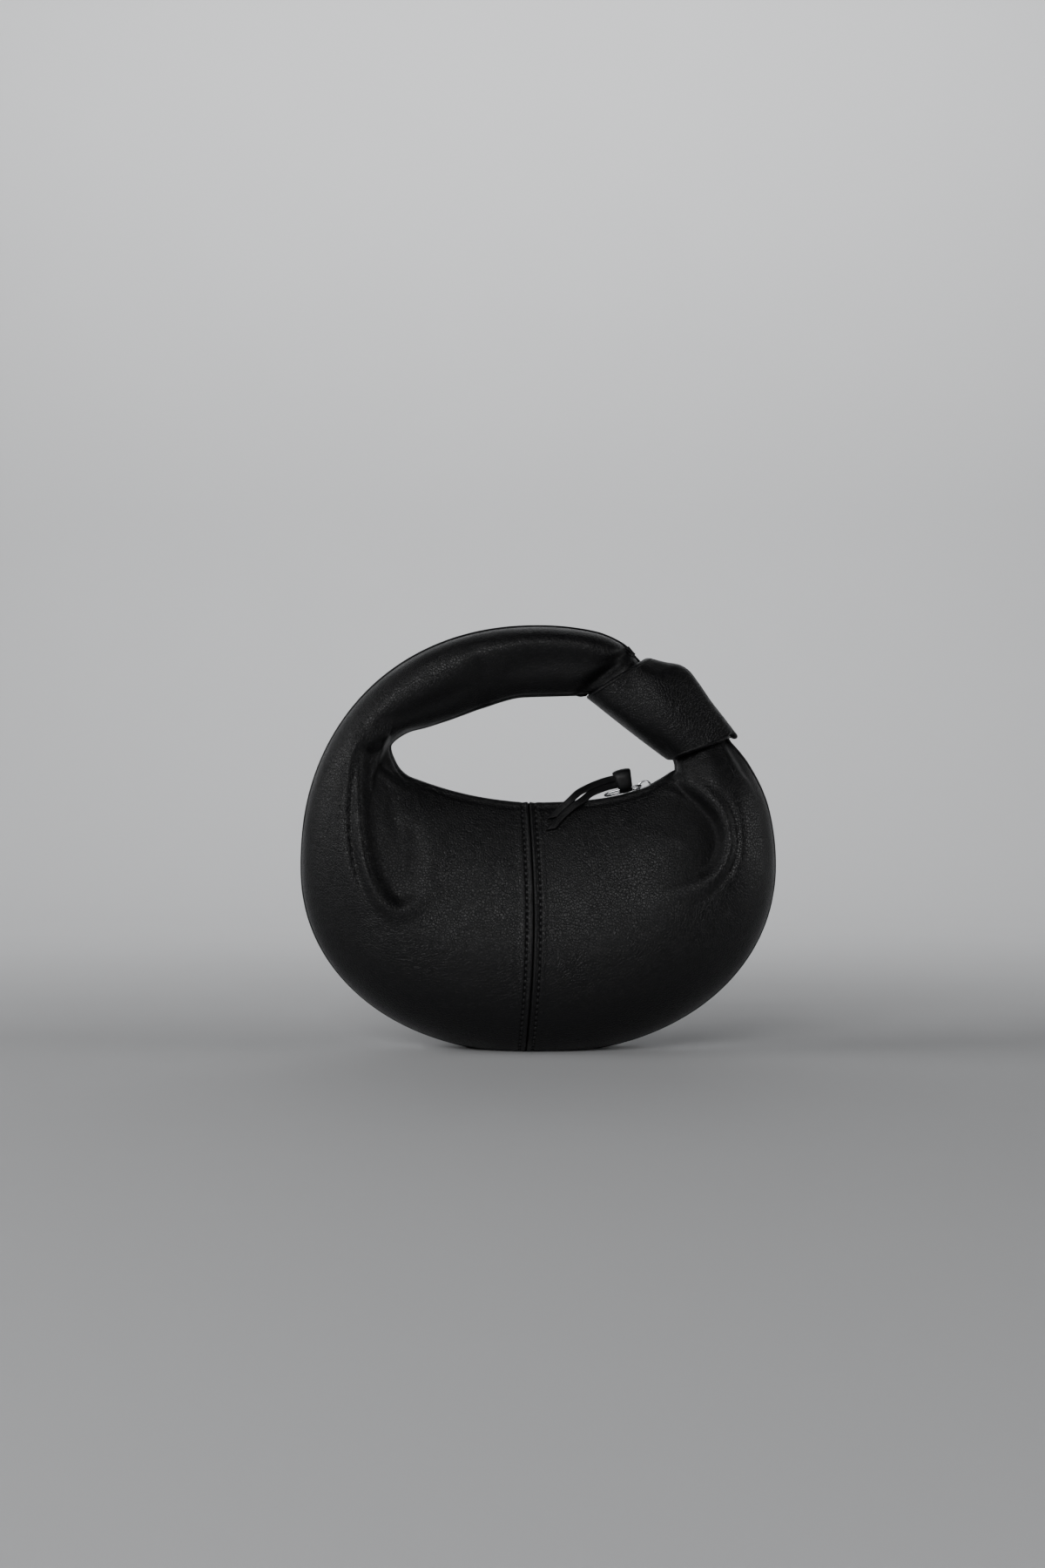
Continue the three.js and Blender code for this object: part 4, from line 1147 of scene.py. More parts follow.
@dataclass(frozen=True)
class Panel:
    """One leather panel: half of the front or the back, with its half of the strap.

    Fields:
        name, node: the piece, and the frame's node that it stands for.
        start, end: its first and last turn.
        face: the side that it faces.
        folds: the folds pressed into it.
        rounds, across: how many sections, and how many points from the edging to the lip.
        dense: rows of a turn, how many times more sections lie there than elsewhere, and over how many degrees.
        inside, finer: every how manyth point of the outside has one inside, and how much finer it is measured.
        bead, lip_bead: rows of distance, height and width of the welts at the edging and at the lip.
        roll_steps: how many points round a rolled edge.
        crumple: the height of the small creases in the folds.
        folded_at, crumpled_at: how deep the folds are where their matt tone and their creases are full.
    """

    name: str
    node: str
    start: float
    end: float
    face: Face
    folds: tuple[Fold, ...]
    rounds: int
    across: int
    dense: Rows
    inside: int = 3
    finer: int = 3
    bead: Rows = ((1.5, 0.8, 0.8), (3.1, -0.8, 0.8))
    lip_bead: Rows = ((0.8, 0.25, 0.8), (3.4, -0.35, 1.1))
    roll_steps: int = 5
    crumple: float = 0.0
    folded_at: float = 6.0
    crumpled_at: float = 8.0

    def from_seam(self, ring: Ring) -> slice:
        """Gives the order of the sections that begins at the centre seam."""
        return slice(None) if abs(self.start - ring.seam) < TOUCHING else slice(None, None, -1)

    def skin(self, ring: Ring, seam: SeamProfile) -> Skin:
        """Works out the outside.

        Args:
            ring: The bag's form.
            seam: The profile beside the centre seam.

        Returns:
            The outside. Its values are how deep a point lies in a fold, as a share, and its distances from the
            centre seam and along it.
        """
        turn = spaced(self.start, self.end, self.rounds, self.dense)[:, None]
        fine = np.linspace(0, 1, self.finer * self.across)
        bare, _ = ring.place(turn, fine[None, :], self.face)
        even = np.linspace(0, 1, self.across)
        way = np.stack([np.interp(even, row / row[-1], fine) for row in reached(bare, 1)])
        grid, pressed = ring.place(turn, way, self.face, self.folds)
        normals = grid_normals(grid) * self.face.value
        order = self.from_seam(ring)
        from_seam = reached(grid[order])[order]
        from_edge = reached(grid, 1)
        from_lip = from_edge[:, -1:] - from_edge
        relief = humps(from_seam, seam.rows) + humps(from_edge, self.bead) + humps(from_lip, self.lip_bead)
        relief = relief + self.crumple * CRUMPLE.height(grid) * np.clip(pressed / self.crumpled_at, 0, 1)
        grid = grid + normals * relief[..., None]
        grid[..., 2] = np.maximum(grid[..., 2], 0)
        masks = {"folded": np.clip(pressed / self.folded_at, 0, 1), "from_seam": from_seam}
        skin = Skin(grid, grid_normals(grid) * self.face.value, masks)
        line, _ = self.seam_line(skin, ring, seam)
        masks["along_seam"] = np.broadcast_to(reached(line), from_seam.shape)
        return skin

    def seam_line(self, skin: Skin, ring: Ring, seam: SeamProfile) -> tuple[Array, Array]:
        """Finds the line of the stitches on the panel.

        Args:
            skin: The panel's outside.
            ring: The bag's form.
            seam: The profile beside the centre seam.

        Returns:
            The line's points from the edging to the lip, and the normals there.
        """
        order = self.from_seam(ring)
        away, grid = skin.masks["from_seam"][order], skin.grid[order]
        k = np.argmax(away > seam.stitch_at, axis=0)
        column = np.arange(grid.shape[1])
        before, after = away[k - 1, column], away[k, column]
        t = ((seam.stitch_at - before) / (after - before))[:, None]
        return grid[k - 1, column] * (1 - t) + grid[k, column] * t, skin.normals[order][k, column]

    def build(self, ring: Ring, seam: SeamProfile, finish: Material) -> Piece:
        """Builds the panel: its outside, a rolled lip, the inside one wall deeper and a rolled outer edge.

        Args:
            ring: The bag's form.
            seam: The profile beside the centre seam.
            finish: The leather's material.

        Returns:
            The piece.
        """
        skin = self.skin(ring, seam)
        grid, normals = skin.grid, skin.normals
        picked = np.unique(np.append(np.arange(0, self.across, self.inside), self.across - 1))
        inner = grid[:, picked] - normals[:, picked] * ring.leather
        angle = np.linspace(0, np.pi, self.roll_steps + 2)[1:-1]
        lip = self.roll(grid[:, -1], inner[:, -1], grid[:, -1] - grid[:, -2], angle)
        edge = self.roll(inner[:, 0], grid[:, 0], grid[:, 0] - grid[:, 1], angle)
        whole = np.concatenate([grid, lip, inner[:, ::-1], edge], 1)
        whole[..., 2] = np.maximum(whole[..., 2], 0)
        masks = {}
        for key, values in skin.masks.items():
            masks[key] = np.zeros(whole.shape[:2])
            masks[key][:, : self.across] = values
        return build(self.name, [surface(whole, masks=masks)], finish, (self.node,))

    @staticmethod
    def roll(start: Array, end: Array, beyond: Array, angle: Array) -> Array:
        """Turns an edge round in half a circle.

        Args:
            start: The points that it begins at.
            end: The points that it ends at.
            beyond: The ways that it bulges.
            angle: The angles from the start of the half circle.

        Returns:
            The points at each angle, for each point of the start.
        """
        middle, half = (start + end) / 2, (start - end) / 2
        out = unit(beyond) * np.linalg.norm(half, axis=-1, keepdims=True)
        cos, sin = np.cos(angle)[None, :, None], np.sin(angle)[None, :, None]
        return middle[:, None] + half[:, None] * cos + out[:, None] * sin


@dataclass(frozen=True)
class SeamStitches:
    """The two rows of stitches beside the centre seam on one face.

    Fields:
        name, panels: the piece, and the two panels that it lies on.
        stations, sides: how many rings of points a stitch has, and how many points a ring.
        ahead: how far on along the row its direction is read.
        blunt: the place of the end rings, as a share of half the stitch.
        arch, sunk: how far its middle stands up and how deep it all lies, as shares of the thread.
        flat: the thread's height as a share of its width.
    """

    name: str
    panels: tuple[Panel, Panel]
    stations: int = 6
    sides: int = 6
    ahead: float = 0.5
    blunt: float = 0.98
    arch: float = 0.4
    sunk: float = 0.15
    flat: float = 0.8

    def build(self, ring: Ring, seam: SeamProfile, finish: Material) -> Piece:
        """Builds each stitch as a bead of thread that dips into the leather at both ends.

        Args:
            ring: The bag's form.
            seam: The stitches' sizes.
            finish: The thread's material.

        Returns:
            The piece.
        """
        stitches = []
        for panel in self.panels:
            line, out = panel.seam_line(panel.skin(ring, seam), ring, seam)
            run = reached(line)
            middles = np.arange(seam.clear, run[-1] - seam.clear / 2, seam.pitch)
            centre, up = read_at(middles, run, line), unit(read_at(middles, run, out))
            along = unit(read_at(middles + self.ahead, run, line) - centre)
            stitches.append(self.beads(centre, along, up, seam))
        return build(self.name, [surface(bead) for beads in stitches for bead in beads], finish)

    def beads(self, centre: Array, along: Array, up: Array, seam: SeamProfile) -> Array:
        """Shapes stitches: a circle whose radius goes with the root of 1 minus the fourth power of the place.

        Args:
            centre: The middle of each stitch.
            along: The way that it runs.
            up: The way out of the leather there.
            seam: The stitches' sizes.

        Returns:
            For each stitch a grid of rings by points.
        """
        place = np.linspace(-self.blunt, self.blunt, self.stations)
        angle = circle(self.sides)
        side = np.cross(along, up)[:, None, None]
        radius = seam.thread / 2 * np.sqrt(1 - place**4)
        high = seam.thread * (self.arch * (1 - place**2) - self.sunk)
        spine = centre[:, None] + along[:, None] * (place * seam.stitch / 2)[None, :, None]
        spine = spine + up[:, None] * high[None, :, None]
        cos, sin = (radius[:, None] * part(angle) for part in (np.cos, np.sin))
        beads = spine[:, :, None] + side * cos[..., None] + up[:, None, None] * sin[..., None] * self.flat
        beads[..., 2] = np.maximum(beads[..., 2], 0)
        return beads


@dataclass(frozen=True)
class Edging:
    """The thin painted edging between the front and the back, from one side of the knot down round to the other.

    Fields:
        start, end: its first and last turn.
        thick, proud, bite: its thickness, and how far it stands out of the outline and reaches in.
        power: the roundness of its section.
        steps, sides: how many sections it has, and how many points a section.
    """

    start: float = 49.0
    end: float = 406.0
    thick: float = 1.2
    proud: float = 1.0
    bite: float = 3.0
    power: float = 0.5
    steps: int = 420
    sides: int = 16

    def build(self, ring: Ring, finish: Material) -> Piece:
        """Builds the strip: a rounded oblong carried along the outline, flattened where it meets the floor.

        Args:
            ring: The bag's form.
            finish: The edge paint.

        Returns:
            The piece.
        """
        out, loop = ring.ends(ring.section(np.linspace(self.start, self.end, self.steps)))
        inward = unit(loop - out)
        deep = self.proud + self.bite
        middle = out + inward * (self.bite - self.proud) / 2
        profile = rounded(deep, self.thick, self.power, self.sides)
        grid = sweep(middle, inward, np.broadcast_to(BACKWARD, out.shape), profile)
        least = np.clip(profile[:, 0] / deep + 0.5, 0, 1) * self.bite
        grid[..., 2] = np.maximum(grid[..., 2], least[None, :])
        return build("painted_edging", [surface(grid)], finish, ("seam_edging",))


@dataclass(frozen=True)
class KnotWrap:
    """The wrapped part of the knot: a padded sleeve round the strap, with rolled ends and slanting soft folds.

    Fields:
        entry, exit: the x, z and bearing of the sleeve's two ends.
        reach: rows of the place and of how far the sleeve's upper right edge stands off its middle line there.
        half: how far its lower left edge stands off.
        deep, belly: its depth at the ends, and how much deeper it is in the middle.
        creases: rows of a crease's angle at the entry and at the exit, in degrees, and its depth.
        crease_wide: the creases' half width.
        fade, held: the share of the length over which they fade at each end, and how much of them is left there.
        squareness: the power of the oval's cosine and sine: below 1, its front is flatter.
        roll, roll_steps: the radius of the rolled ends, and how many rings each has.
        tip: rows of the angle, the shift and the spread, in degrees, of the uneven exit end.
        sides, steps, inside: how many points a ring has, how many rings the outside, and how many times fewer the
            inside.
    """

    entry: Point = (40.4, 195.8, 32.7)
    exit: Point = (86.5, 158.5, 19.8)
    reach: tuple[Span, ...] = (
        (-0.1, 19.4), (0.0, 20.8), (0.11, 24.8), (0.2, 29.2), (0.28, 30.2), (0.36, 29.4), (0.5, 27.2), (0.62, 25.2),
        (0.8, 23.0), (1.0, 20.3), (1.1, 18.8),
    )
    half: float = 18.8
    deep: float = 36.0
    belly: float = 3.2
    creases: Rows = ((34.0, 62.0, 1.5), (74.0, 150.0, 1.1), (196.0, 232.0, 1.4), (280.0, 326.0, 1.4))
    crease_wide: float = 6.4
    fade: float = 0.12
    held: float = 0.55
    squareness: float = 0.84
    roll: float = 1.9
    roll_steps: int = 12
    tip: Rows = ((27.0, -2.6, 15.0), (4.0, 1.6, 12.0), (158.0, 1.0, 18.0))
    sides: int = 240
    steps: int = 110
    inside: int = 4

    def ring(self, place: Array, shrink: Array, folded: Array) -> Array:
        """Puts rings of points round the sleeve.

        Each ring is an oval across the strap round a straight line from the entry to the exit. Its width blends
        from the reach at the upper right to the half at the lower left with the cosine. A crease is a bell in the
        distance from a line whose angle turns steadily from the entry to the exit.

        Args:
            place: How far along each ring lies, from 0 to 1, for each point.
            shrink: How far it is drawn in.
            folded: The share of the folds' depth that it has.

        Returns:
            A grid of rings by points.
        """
        turn = circle(self.sides)[None, :]
        mix = [a + (b - a) * place for a, b in zip(self.entry, self.exit)]
        bearing = np.radians(mix[2])
        middle = np.sin(np.pi * np.clip(place, 0, 1))
        rows = spline(np.array(self.reach), steps=12)
        upper = np.interp(place, rows[:, 0], rows[:, 1])
        half = self.half + (upper - self.half) * (1 + np.cos(turn)) / 2 - shrink
        thick = (self.deep + self.belly * middle) / 2 - shrink
        puff = 0.0
        for start, end, deep in self.creases:
            angle = turn - np.radians(start + (end - start) * place)
            away = np.arctan2(np.sin(angle), np.cos(angle)) * self.half
            puff = puff - folded * deep * hump(away, self.crease_wide)
        cos, sin = (powered(part(turn), self.squareness) for part in (np.cos, np.sin))
        u, v = (half + puff) * cos, -(thick + puff) * sin
        x, z = mix[0] + u * np.cos(bearing), mix[1] + u * np.sin(bearing)
        return np.stack([x, v + 0 * x, z], -1)

    def build(self, finish: Material) -> Piece:
        """Builds the sleeve: out along its outside, round the rolled exit, back inside and round the entry.

        Args:
            finish: The leather's material.

        Returns:
            The piece.
        """
        length = math.hypot(self.exit[0] - self.entry[0], self.exit[1] - self.entry[1])
        end = self.roll / length
        angle = np.linspace(0, np.pi, self.roll_steps)
        outer = np.linspace(end, 1 - end, self.steps)
        inner = np.linspace(1 - end, end, self.steps // self.inside)[1:-1]
        place = np.concatenate([outer, 1 - end + end * np.sin(angle), inner, end - end * np.sin(angle[::-1])])
        turned = self.roll * (1 - np.cos(angle))
        shrink = np.concatenate([0 * outer, turned, 2 * self.roll + 0 * inner, turned[::-1]])
        near_end = np.minimum(outer, 1 - outer) / self.fade
        held = self.held + 0 * angle
        folded = np.concatenate([np.clip(self.held + (1 - self.held) * near_end, 0, 1), held, 0 * inner, held])
        turn = np.degrees(circle(self.sides))[None, :]
        shift = sum(by * hump((turn - at + 180) % 360 - 180, spread) for at, by, spread in self.tip) / length
        place = place[:, None] + shift * np.clip(place[:, None] * 2 - 1, 0, 1) ** 3
        grid = self.ring(place, shrink[:, None], folded[:, None])
        return build("knot_leather", [surface(grid, ring=True)], finish, ("knot_wrap",))


@dataclass(frozen=True)
class Zip:
    """The zip in the mouth: its tape, its closed teeth, and the link that hangs on its slider.

    Fields:
        drop: how far it lies below the mouth's edge.
        start, end: the turns where the tape begins and ends.
        tape, tape_power: the tape's thickness, and the roundness of its edges.
        pitch, tooth: the step from one tooth to the next, and a tooth's length, width and height.
        form, tooth_power: rows of the place across a tooth and its size there, and the roundness of its section.
        seat, aside: how high the teeth lie over the tape, and how far aside, as a share of a tooth's width.
        slider_turn, slider_top, rise, bridge, wire: the slider's place and the size of its bridge.
        near: the degrees on each side of the slider over which the zip's slope is read.
        link: the link's length, width and lean in degrees.
        steps, link_steps: how many sections the zip's line and the link's wire have.
    """

    drop: float = 3.0
    start: float = 203.0
    end: float = 342.0
    tape: float = 0.9
    tape_power: float = 0.35
    pitch: float = 1.6
    tooth: Point = (1.15, 2.9, 1.5)
    form: tuple[Span, ...] = ((-0.5, 0.4), (-0.44, 0.8), (-0.3, 1.0), (0.3, 1.0), (0.44, 0.8), (0.5, 0.4))
    tooth_power: float = 0.45
    seat: float = 0.3
    aside: float = 0.22
    slider_turn: float = 328.0
    slider_top: float = 3.15
    rise: float = 3.8
    bridge: float = 6.0
    wire: float = 1.2
    near: float = 3.0
    link: Point = (21.0, 7.4, 15.0)
    steps: int = 240
    link_steps: int = 96

    def build_tape(self, ring: Ring, finish: Material) -> Piece:
        """Builds the tape: a flat rounded strip as wide as the mouth, carried along the zip's line.

        Args:
            ring: The bag's form.
            finish: The fabric's material.

        Returns:
            The piece.
        """
        line, half = ring.zip_line(np.linspace(self.start, self.end, self.steps), self.drop)
        profile = rounded(2.0, self.tape, self.tape_power, sides=32)
        grid = np.repeat(line[:, None], len(profile), axis=1)
        grid[..., 1] += profile[None, :, 0] * half[:, None]
        grid[..., 2] += profile[None, :, 1] - self.tape / 2
        return build("woven_tape", [surface(grid)], finish, ("zip_tape",))

    def build_teeth(self, ring: Ring, finish: Material) -> Piece:
        """Builds the teeth: rounded blocks, each a step along the line and on the other side from the last.

        Args:
            ring: The bag's form.
            finish: The metal.

        Returns:
            The piece.
        """
        line, _ = ring.zip_line(np.linspace(self.start + 1, self.end - 1, self.steps), self.drop)
        run = reached(line)
        middles = np.arange(self.pitch, run[-1] - self.pitch, self.pitch)
        centre = read_at(middles, run, line)
        along = unit(np.gradient(centre, axis=0))
        side = np.where(np.arange(len(middles)) % 2, 1.0, -1.0)
        centre[:, 1] += side * self.tooth[1] * self.aside
        up = np.cross(along, BACKWARD)
        place, size = np.array(self.form).T
        profile = rounded(self.tooth[0], self.tooth[2], self.tooth_power, sides=10)
        teeth = []
        for at, forward, high in zip(centre, along, up):
            spine = at + high * (self.seat + self.tooth[2] / 2) + BACKWARD * (place * self.tooth[1])[:, None]
            frames = (np.broadcast_to(way, spine.shape) for way in (forward, high))
            teeth.append(surface(sweep(spine, *frames, profile, size)))
        return build("zip_teeth", teeth, finish, ("zip_chain",))

    def link_frame(self, ring: Ring, slope: float) -> tuple[Array, Array, Array]:
        """Hooks the link under the slider's bridge.

        Args:
            ring: The bag's form.
            slope: The link's slope in the front view, in degrees.

        Returns:
            Its middle, and its long and short directions.
        """
        turns = self.slider_turn + np.array([-self.near, 0.0, self.near])
        before, seat, after = ring.zip_line(turns, self.drop)[0]
        tilt = math.atan2(after[2] - before[2], after[0] - before[0])
        up = self.slider_top + (self.rise - self.wire) / 2
        left = self.bridge / 2 - self.wire - ring.gap
        cos, sin = math.cos(tilt), math.sin(tilt)
        hook = np.array([seat[0] - left * cos - up * sin, 0.0, seat[2] - left * sin + up * cos])
        bearing, lean = math.radians(slope), math.radians(self.link[2])
        along = np.array([math.cos(bearing), 0.0, math.sin(bearing)])
        across = np.array([-math.sin(lean) * along[2], -math.cos(lean), math.sin(lean) * along[0]])
        return hook - along * (self.link[0] - self.wire) / 2, along, across

    def build_link(self, ring: Ring, slope: float, finish: Material) -> Piece:
        """Builds the link: a round wire along two half circles joined by straights.

        Args:
            ring: The bag's form.
            slope: The link's slope in the front view, in degrees.
            finish: The metal.

        Returns:
            The piece.
        """
        centre, along, across = self.link_frame(ring, slope)
        angle = circle(self.link_steps)
        round_by = (self.link[1] - self.wire) / 2
        straight = np.sign(np.cos(angle)) * ((self.link[0] - self.wire) / 2 - round_by)
        reach, wide = straight + round_by * np.cos(angle), round_by * np.sin(angle)
        line = centre + along * reach[:, None] + across * wide[:, None]
        normal = np.broadcast_to(np.cross(along, across), line.shape)
        profile = rounded(self.wire, self.wire, power=1, sides=16)
        grid = sweep(line, np.cross(onward(line), normal), normal, profile)
        return build("oval_link", [surface(grid, ring=True)], finish, ("pull_link",))


@dataclass(frozen=True)
class PullLace:
    """The leather pull: two tails that hang over the front lip, held by a band drawn through the link.

    Fields:
        band_at, band, band_wall, slope: the band's middle, its length, height and depth, wall and slope in degrees.
        oval, taper: the roundness of the band seen from its end, and how much narrower it is below.
        barrel: how much the band is drawn in at its two edges.
        width, thick, slit: the size of a tail and the slit between the two.
        open_at, open_wide, open_by: where along the tails the slit gapes, how far on each side, and by how much.
        free: the tails' middle line up to the lip; laid: turns and ways of it on the front.
        facing: the way that the tails face at the band, and how much of a turn up each row adds.
        point, tip, thin: how long the slanting cut at a tail's tip is, the stretch that it draws in, and how much
            thinner the leather is there.
        short: how much shorter the upper tail is.
        clear: how far the tails lie off the front.
        near: the step in turn and in way over which the front's normal is read.
        tail_power, strip_power: the roundness of the edges of a tail and of the band.
        steps, band_steps: how many sections a tail and the band have.
    """

    band_at: Point = (45.2, -0.4, 141.4)
    band: Point = (9.8, 13.0, 9.0)
    band_wall: float = 1.9
    slope: float = 14.0
    oval: float = 0.8
    taper: float = 0.14
    barrel: float = 0.6
    width: float = 3.7
    thick: float = 1.7
    slit: float = -0.25
    open_at: float = 29.0
    open_wide: float = 4.5
    open_by: float = 1.1
    free: Rows = (
        (47.0, -0.3, 142.0), (40.4, -1, 140.9), (34, -3.3, 139.2), (26.2, -7.4, 136), (19.2, -12.2, 131),
    )
    laid: tuple[Span, ...] = ((280.8, 0.948), (273.6, 0.9))
    facing: Point = (0.1, -1, 0.12)
    point: float = 4.2
    tip: float = 9.0
    thin: float = 0.35
    short: float = 6.0
    clear: float = 0.5
    near: Span = (0.4, 0.02)
    tail_power: float = 0.55
    strip_power: float = 0.5
    steps: int = 90
    band_steps: int = 120

    def tail(self, points: Array, normals: Array, side: int) -> Surface:
        """Shapes one tail: a rounded strip beside the middle line, whose last stretch is cut on the slant.

        Args:
            points: The points of the middle line.
            normals: The ways that the tails face there.
            side: -1 for the lower tail and 1 for the upper one.

        Returns:
            The tail.
        """
        line, facing = spline(points, steps=30), unit(spline(normals, steps=30))
        run = reached(line)
        length = run[-1] - (self.short if side > 0 else 0)
        profile = rounded(self.width, self.thick, self.tail_power, sides=24)
        at = np.linspace(0, length, self.steps)[:, None]
        near_tip = np.clip(1 - (length - at) / self.tip, 0, 1) ** 2
        cut = self.point * (0.5 - profile[:, 0] / self.width) * near_tip
        place = (at - cut).ravel()
        centre, out = read_at(place, run, line), unit(read_at(place, run, facing))
        along = unit(read_at(place, run, np.gradient(line, axis=0)))
        across = unit(np.cross(along, out))
        gape = self.open_by / 2 * hump(place - self.open_at, self.open_wide)
        shift = side * ((self.width + self.slit) / 2 + gape)
        rows = np.broadcast_to(profile, (self.steps, *profile.shape)).reshape(-1, 2)
        thin = 1 - self.thin * np.repeat(near_tip, len(profile), axis=1).ravel()
        grid = centre + across * (shift + rows[:, 0])[:, None] + out * (rows[:, 1] * thin)[:, None]
        return surface(grid.reshape(self.steps, -1, 3))

    def band_ring(self) -> Surface:
        """Shapes the band: a flat strip carried round a squarish oval, wider on top than below.

        Returns:
            The band.
        """
        bearing = math.radians(self.slope)
        along = np.array([math.cos(bearing), 0.0, math.sin(bearing)])
        up = np.array([-math.sin(bearing), 0.0, math.cos(bearing)])
        angle = circle(self.band_steps)
        cos, sin = (powered(part(angle), self.oval) for part in (np.cos, np.sin))
        high, deep = (self.band[1] - self.band_wall) / 2, (self.band[2] - self.band_wall) / 2
        line = np.array(self.band_at) + up * (cos * high)[:, None] + BACKWARD * (sin * deep)[:, None]
        out = np.cross(np.broadcast_to(along, line.shape), onward(line))
        narrow = (1 - self.taper + self.taper * cos)[:, None, None]
        profile = rounded(self.band[0], self.band_wall, self.strip_power, sides=36)[None]
        profile[..., 1] -= self.barrel * (2 * profile[..., 0] / self.band[0]) ** 2
        grid = line[:, None] + profile[..., :1] * narrow * along + profile[..., 1:] * out[:, None]
        return surface(grid, ring=True)

    def build(self, ring: Ring, finish: Material) -> Piece:
        """Builds both tails and the band as one piece.

        Args:
            ring: The bag's form.
            finish: The leather's material.

        Returns:
            The piece.
        """
        points = [np.array(point) for point in self.free]
        side, front, up = self.facing
        normals = [unit(np.array([side, front, up * k])) for k in range(len(self.free))]
        step = np.array([-1, 0, 1])
        for turn, way in self.laid:
            turns, ways = turn + step * self.near[0], way + step * self.near[1]
            patch, _ = ring.place(turns[:, None], ways[None, :], Face.FRONT)
            normal = unit(np.cross(patch[1, 2] - patch[1, 0], patch[2, 1] - patch[0, 1])) * Face.FRONT.value
            points.append(patch[1, 1] + normal * (self.clear + self.thick / 2))
            normals.append(normal)
        tails = [self.tail(np.array(points), np.array(normals), side) for side in (-1, 1)]
        return build("pull_leather", [*tails, self.band_ring()], finish, ("pull_lace",))


@dataclass(frozen=True)
class Lamp:
    """A soft square lamp. Lengths are in metres.

    Fields:
        name: its name.
        at, aim: where it hangs and the point that it faces.
        size: its width and height.
        power: its power in watts.
    """

    name: str
    at: Point
    aim: Point
    size: Span
    power: float

    def hang(self) -> None:
        """Makes the lamp and turns it to its aim."""
        data = bpy.data.lights.new(self.name, "AREA")
        data.shape = "RECTANGLE"
        data.size, data.size_y = self.size
        data.energy = self.power
        lamp = bpy.data.objects.new(self.name, data)
        lamp.location = self.at
        aim = np.array(self.aim) - np.array(self.at)
        flat = math.hypot(aim[0], aim[1])
        lamp.rotation_euler = (math.atan2(flat, -aim[2]), 0, math.atan2(-aim[0], aim[1]))
        bpy.context.scene.collection.objects.link(lamp)


@dataclass(frozen=True)
class Studio:
    """The plain pale floor that sweeps up behind, the soft lamps and the camera. Lengths are in metres.

    Fields:
        lamps, paper: the lamps, and the floor's finish.
        half_width, front, wall, height: the paper's half width, its front edge, the wall's place and its height.
        bend, bend_steps: the radius of the sweep between floor and wall, and its steps.
        world, glow: the colour and strength of the light from all round.
        camera_at, lens, sensor: where the camera stands, and its lens and sensor in millimetres.
    """

    lamps: tuple[Lamp, ...] = (
        Lamp("window", (-0.5, -1.45, 0.75), (0, 0, 0.1), (1.0, 0.6), 14.5),
        Lamp("left", (-1.3, -0.2, 0.7), (0, 0, 0.14), (0.7, 0.7), 7.0),
        Lamp("right", (1.4, -0.2, 0.4), (0, 0, 0.14), (0.7, 0.7), 5.0),
        Lamp("on_wall", (0.0, 0.5, 1.3), (0, 1.5, 0.95), (2.4, 0.5), 34.0),
    )
    paper: Plain = Plain("studio_paper", (0.48, 0.485, 0.495), (0.75, 0.9), Relief(0.0003, 60.0))
    half_width: float = 3.0
    front: float = -3.0
    wall: float = 1.5
    height: float = 3.0
    bend: float = 0.5
    bend_steps: int = 24
    world: Colour = (0.75, 0.75, 0.765)
    glow: float = 0.03
    camera_at: Point = (-0.0083, -1.015, 0.1398)
    lens: float = 44.0
    sensor: float = 36.0

    def build(self) -> None:
        """Lays the paper, hangs the lamps and sets up the camera level with the bag's middle."""
        angle = np.linspace(0, np.pi / 2, self.bend_steps)
        y = np.concatenate([[self.front], self.wall - self.bend + self.bend * np.sin(angle), [self.wall]])
        z = np.concatenate([[0.0], self.bend - self.bend * np.cos(angle), [self.height]])
        points = np.concatenate([np.stack([np.full_like(y, side * self.half_width), y, z], -1) for side in (-1, 1)])
        k = np.arange(len(y) - 1)
        faces = np.stack([k, k + len(y), k + len(y) + 1, k + 1], -1)
        mesh = bpy.data.meshes.new("studio_paper")
        mesh.from_pydata(points.tolist(), [], faces.tolist())
        mesh.polygons.foreach_set("use_smooth", [True] * len(faces))
        mesh.materials.append(self.paper.material())
        floor = bpy.data.objects.new("studio_paper", mesh)
        bpy.context.scene.collection.objects.link(floor)
        for lamp in self.lamps:
            lamp.hang()
        world = bpy.data.worlds.new("studio")
        world.use_nodes = True
        background = world.node_tree.nodes["Background"]
        background.inputs["Color"].default_value = (*self.world, 1)
        background.inputs["Strength"].default_value = self.glow
        bpy.context.scene.world = world
        camera = bpy.data.objects.new("camera", bpy.data.cameras.new("camera"))
        camera.data.lens, camera.data.sensor_width = self.lens, self.sensor
        camera.location = self.camera_at
        camera.rotation_euler = (math.pi / 2, 0, 0)
        bpy.context.scene.collection.objects.link(camera)
        bpy.context.scene.camera = camera


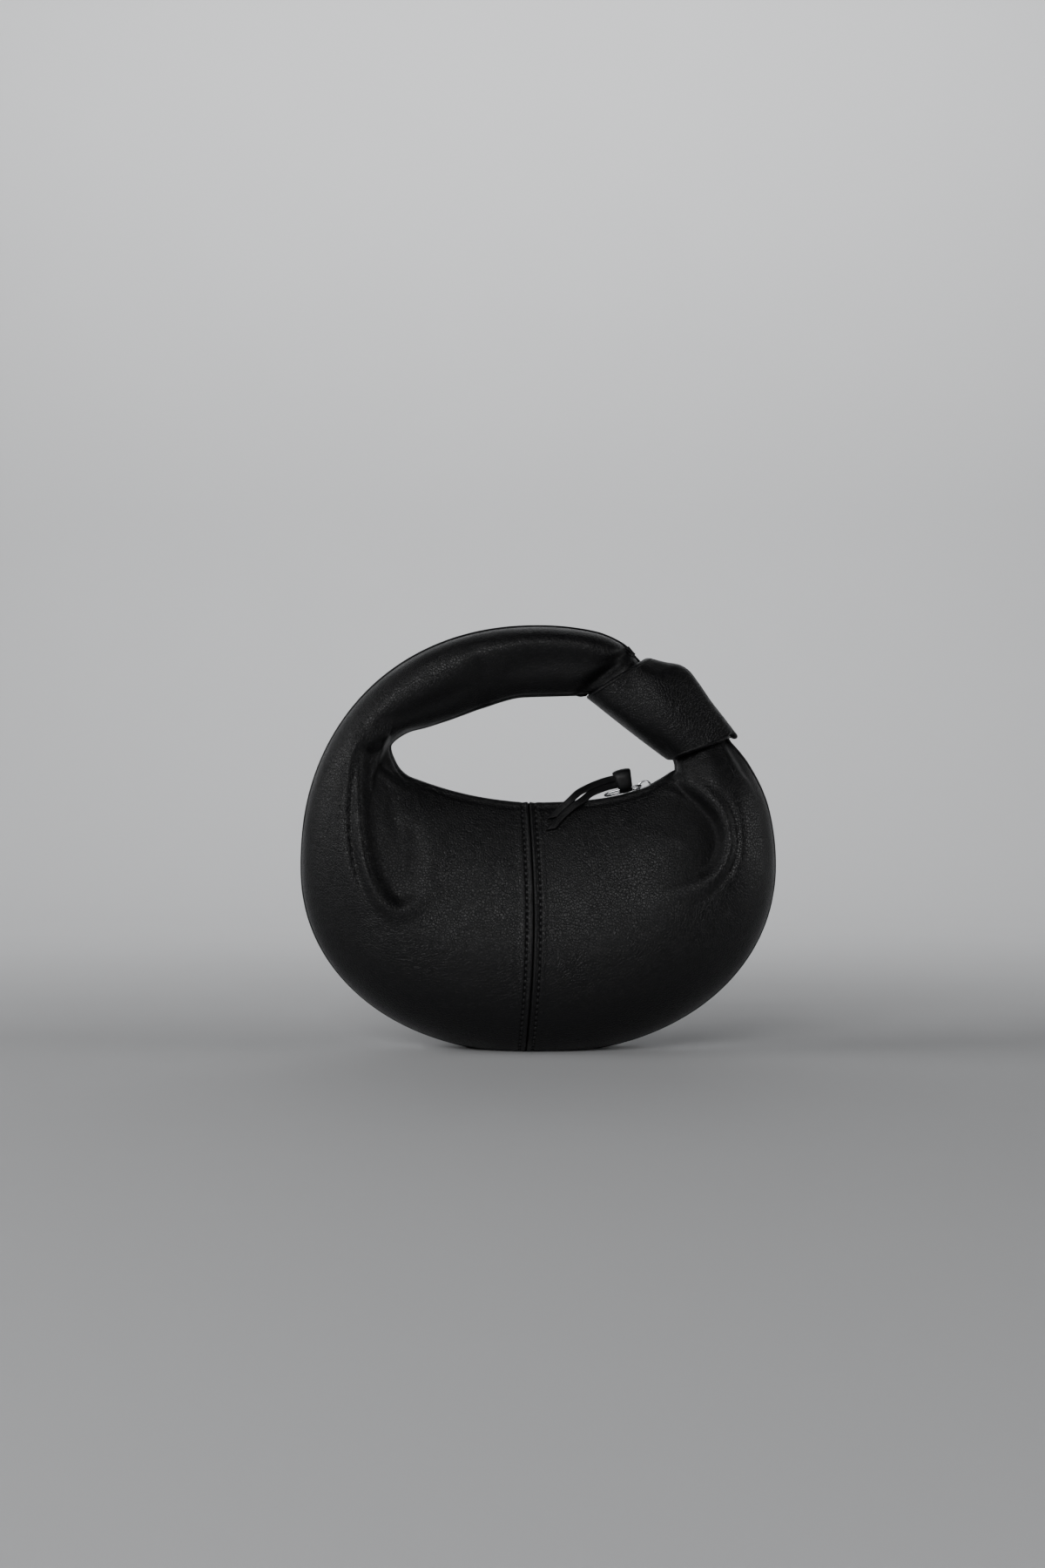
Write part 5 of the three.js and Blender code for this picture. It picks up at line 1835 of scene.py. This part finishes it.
def make_panels(ring: Ring) -> tuple[Panel, ...]:
    """Lists the four panels, with their sections closer together at the folds, the centre seam and the knot.

    Args:
        ring: The bag's form.

    Returns:
        The front's left and right panels, and then the back's.
    """
    pocket_left, pocket_right = (172.0, 3.0, 34.0), (372.0, 2.5, 24.0)
    at_seam, at_knot = (ring.seam, 9.0, 3.2), (66.0, 1.0, 9.0)
    left = {
        "start": ring.knot[0], "end": ring.seam, "folds": LEFT_FOLDS, "dense": (pocket_left, at_seam, at_knot)
    }
    right = {"start": ring.seam, "end": ring.knot[1], "folds": RIGHT_FOLDS, "dense": (pocket_right, at_seam)}
    front, back = {"face": Face.FRONT}, {"face": Face.BACK}
    return (
        Panel("front_leather_left", "front_panel_left", rounds=430, across=150, crumple=0.25, **front, **left),
        Panel("front_leather_right", "front_panel_right", rounds=330, across=180, crumple=0.12, **front, **right),
        Panel("back_leather_left", "back_panel_left", rounds=300, across=120, **back, **left),
        Panel("back_leather_right", "back_panel_right", rounds=220, across=130, **back, **right),
    )


def main() -> None:
    """Builds the bag piece by piece, then the studio."""
    logging.basicConfig(level=logging.INFO, format="%(name)s: %(message)s", stream=sys.stdout)
    ring, seam = Ring(), SeamProfile()
    leather = Leather("black_leather", stitched=seam).material()
    panels = make_panels(ring)
    for panel in panels:
        panel.build(ring, seam, leather)
    thread = Plain("waxed_thread", (0.012, 0.012, 0.013), (0.4, 0.55), Relief(0.00006, 4000.0)).material()
    SeamStitches("front_stitches", panels[:2]).build(ring, seam, thread)
    SeamStitches("back_stitches", panels[2:]).build(ring, seam, thread)
    paint = Plain("painted_edge", (0.006, 0.006, 0.0065), (0.4, 0.55), Relief(0.00006, 1500.0)).material()
    Edging().build(ring, paint)
    KnotWrap().build(leather)
    metal = Polished("polished_metal").material()
    zip_parts, lace = Zip(), PullLace()
    zip_parts.build_tape(ring, Woven("tape_weave").material())
    zip_parts.build_teeth(ring, metal)
    zip_parts.build_link(ring, lace.slope, metal)
    lace_grain = Relief(0.00004, 2200.0, 0.8)
    lace.build(ring, Leather("lace_leather", grain=lace_grain, rough=(0.26, 0.36)).material())
    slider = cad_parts["zip_slider"]
    slider.data.materials.clear()
    slider.data.materials.append(metal)
    log.info("zip_slider: shown as the frame has it")
    Studio().build()


if __name__ == "__main__":
    main()
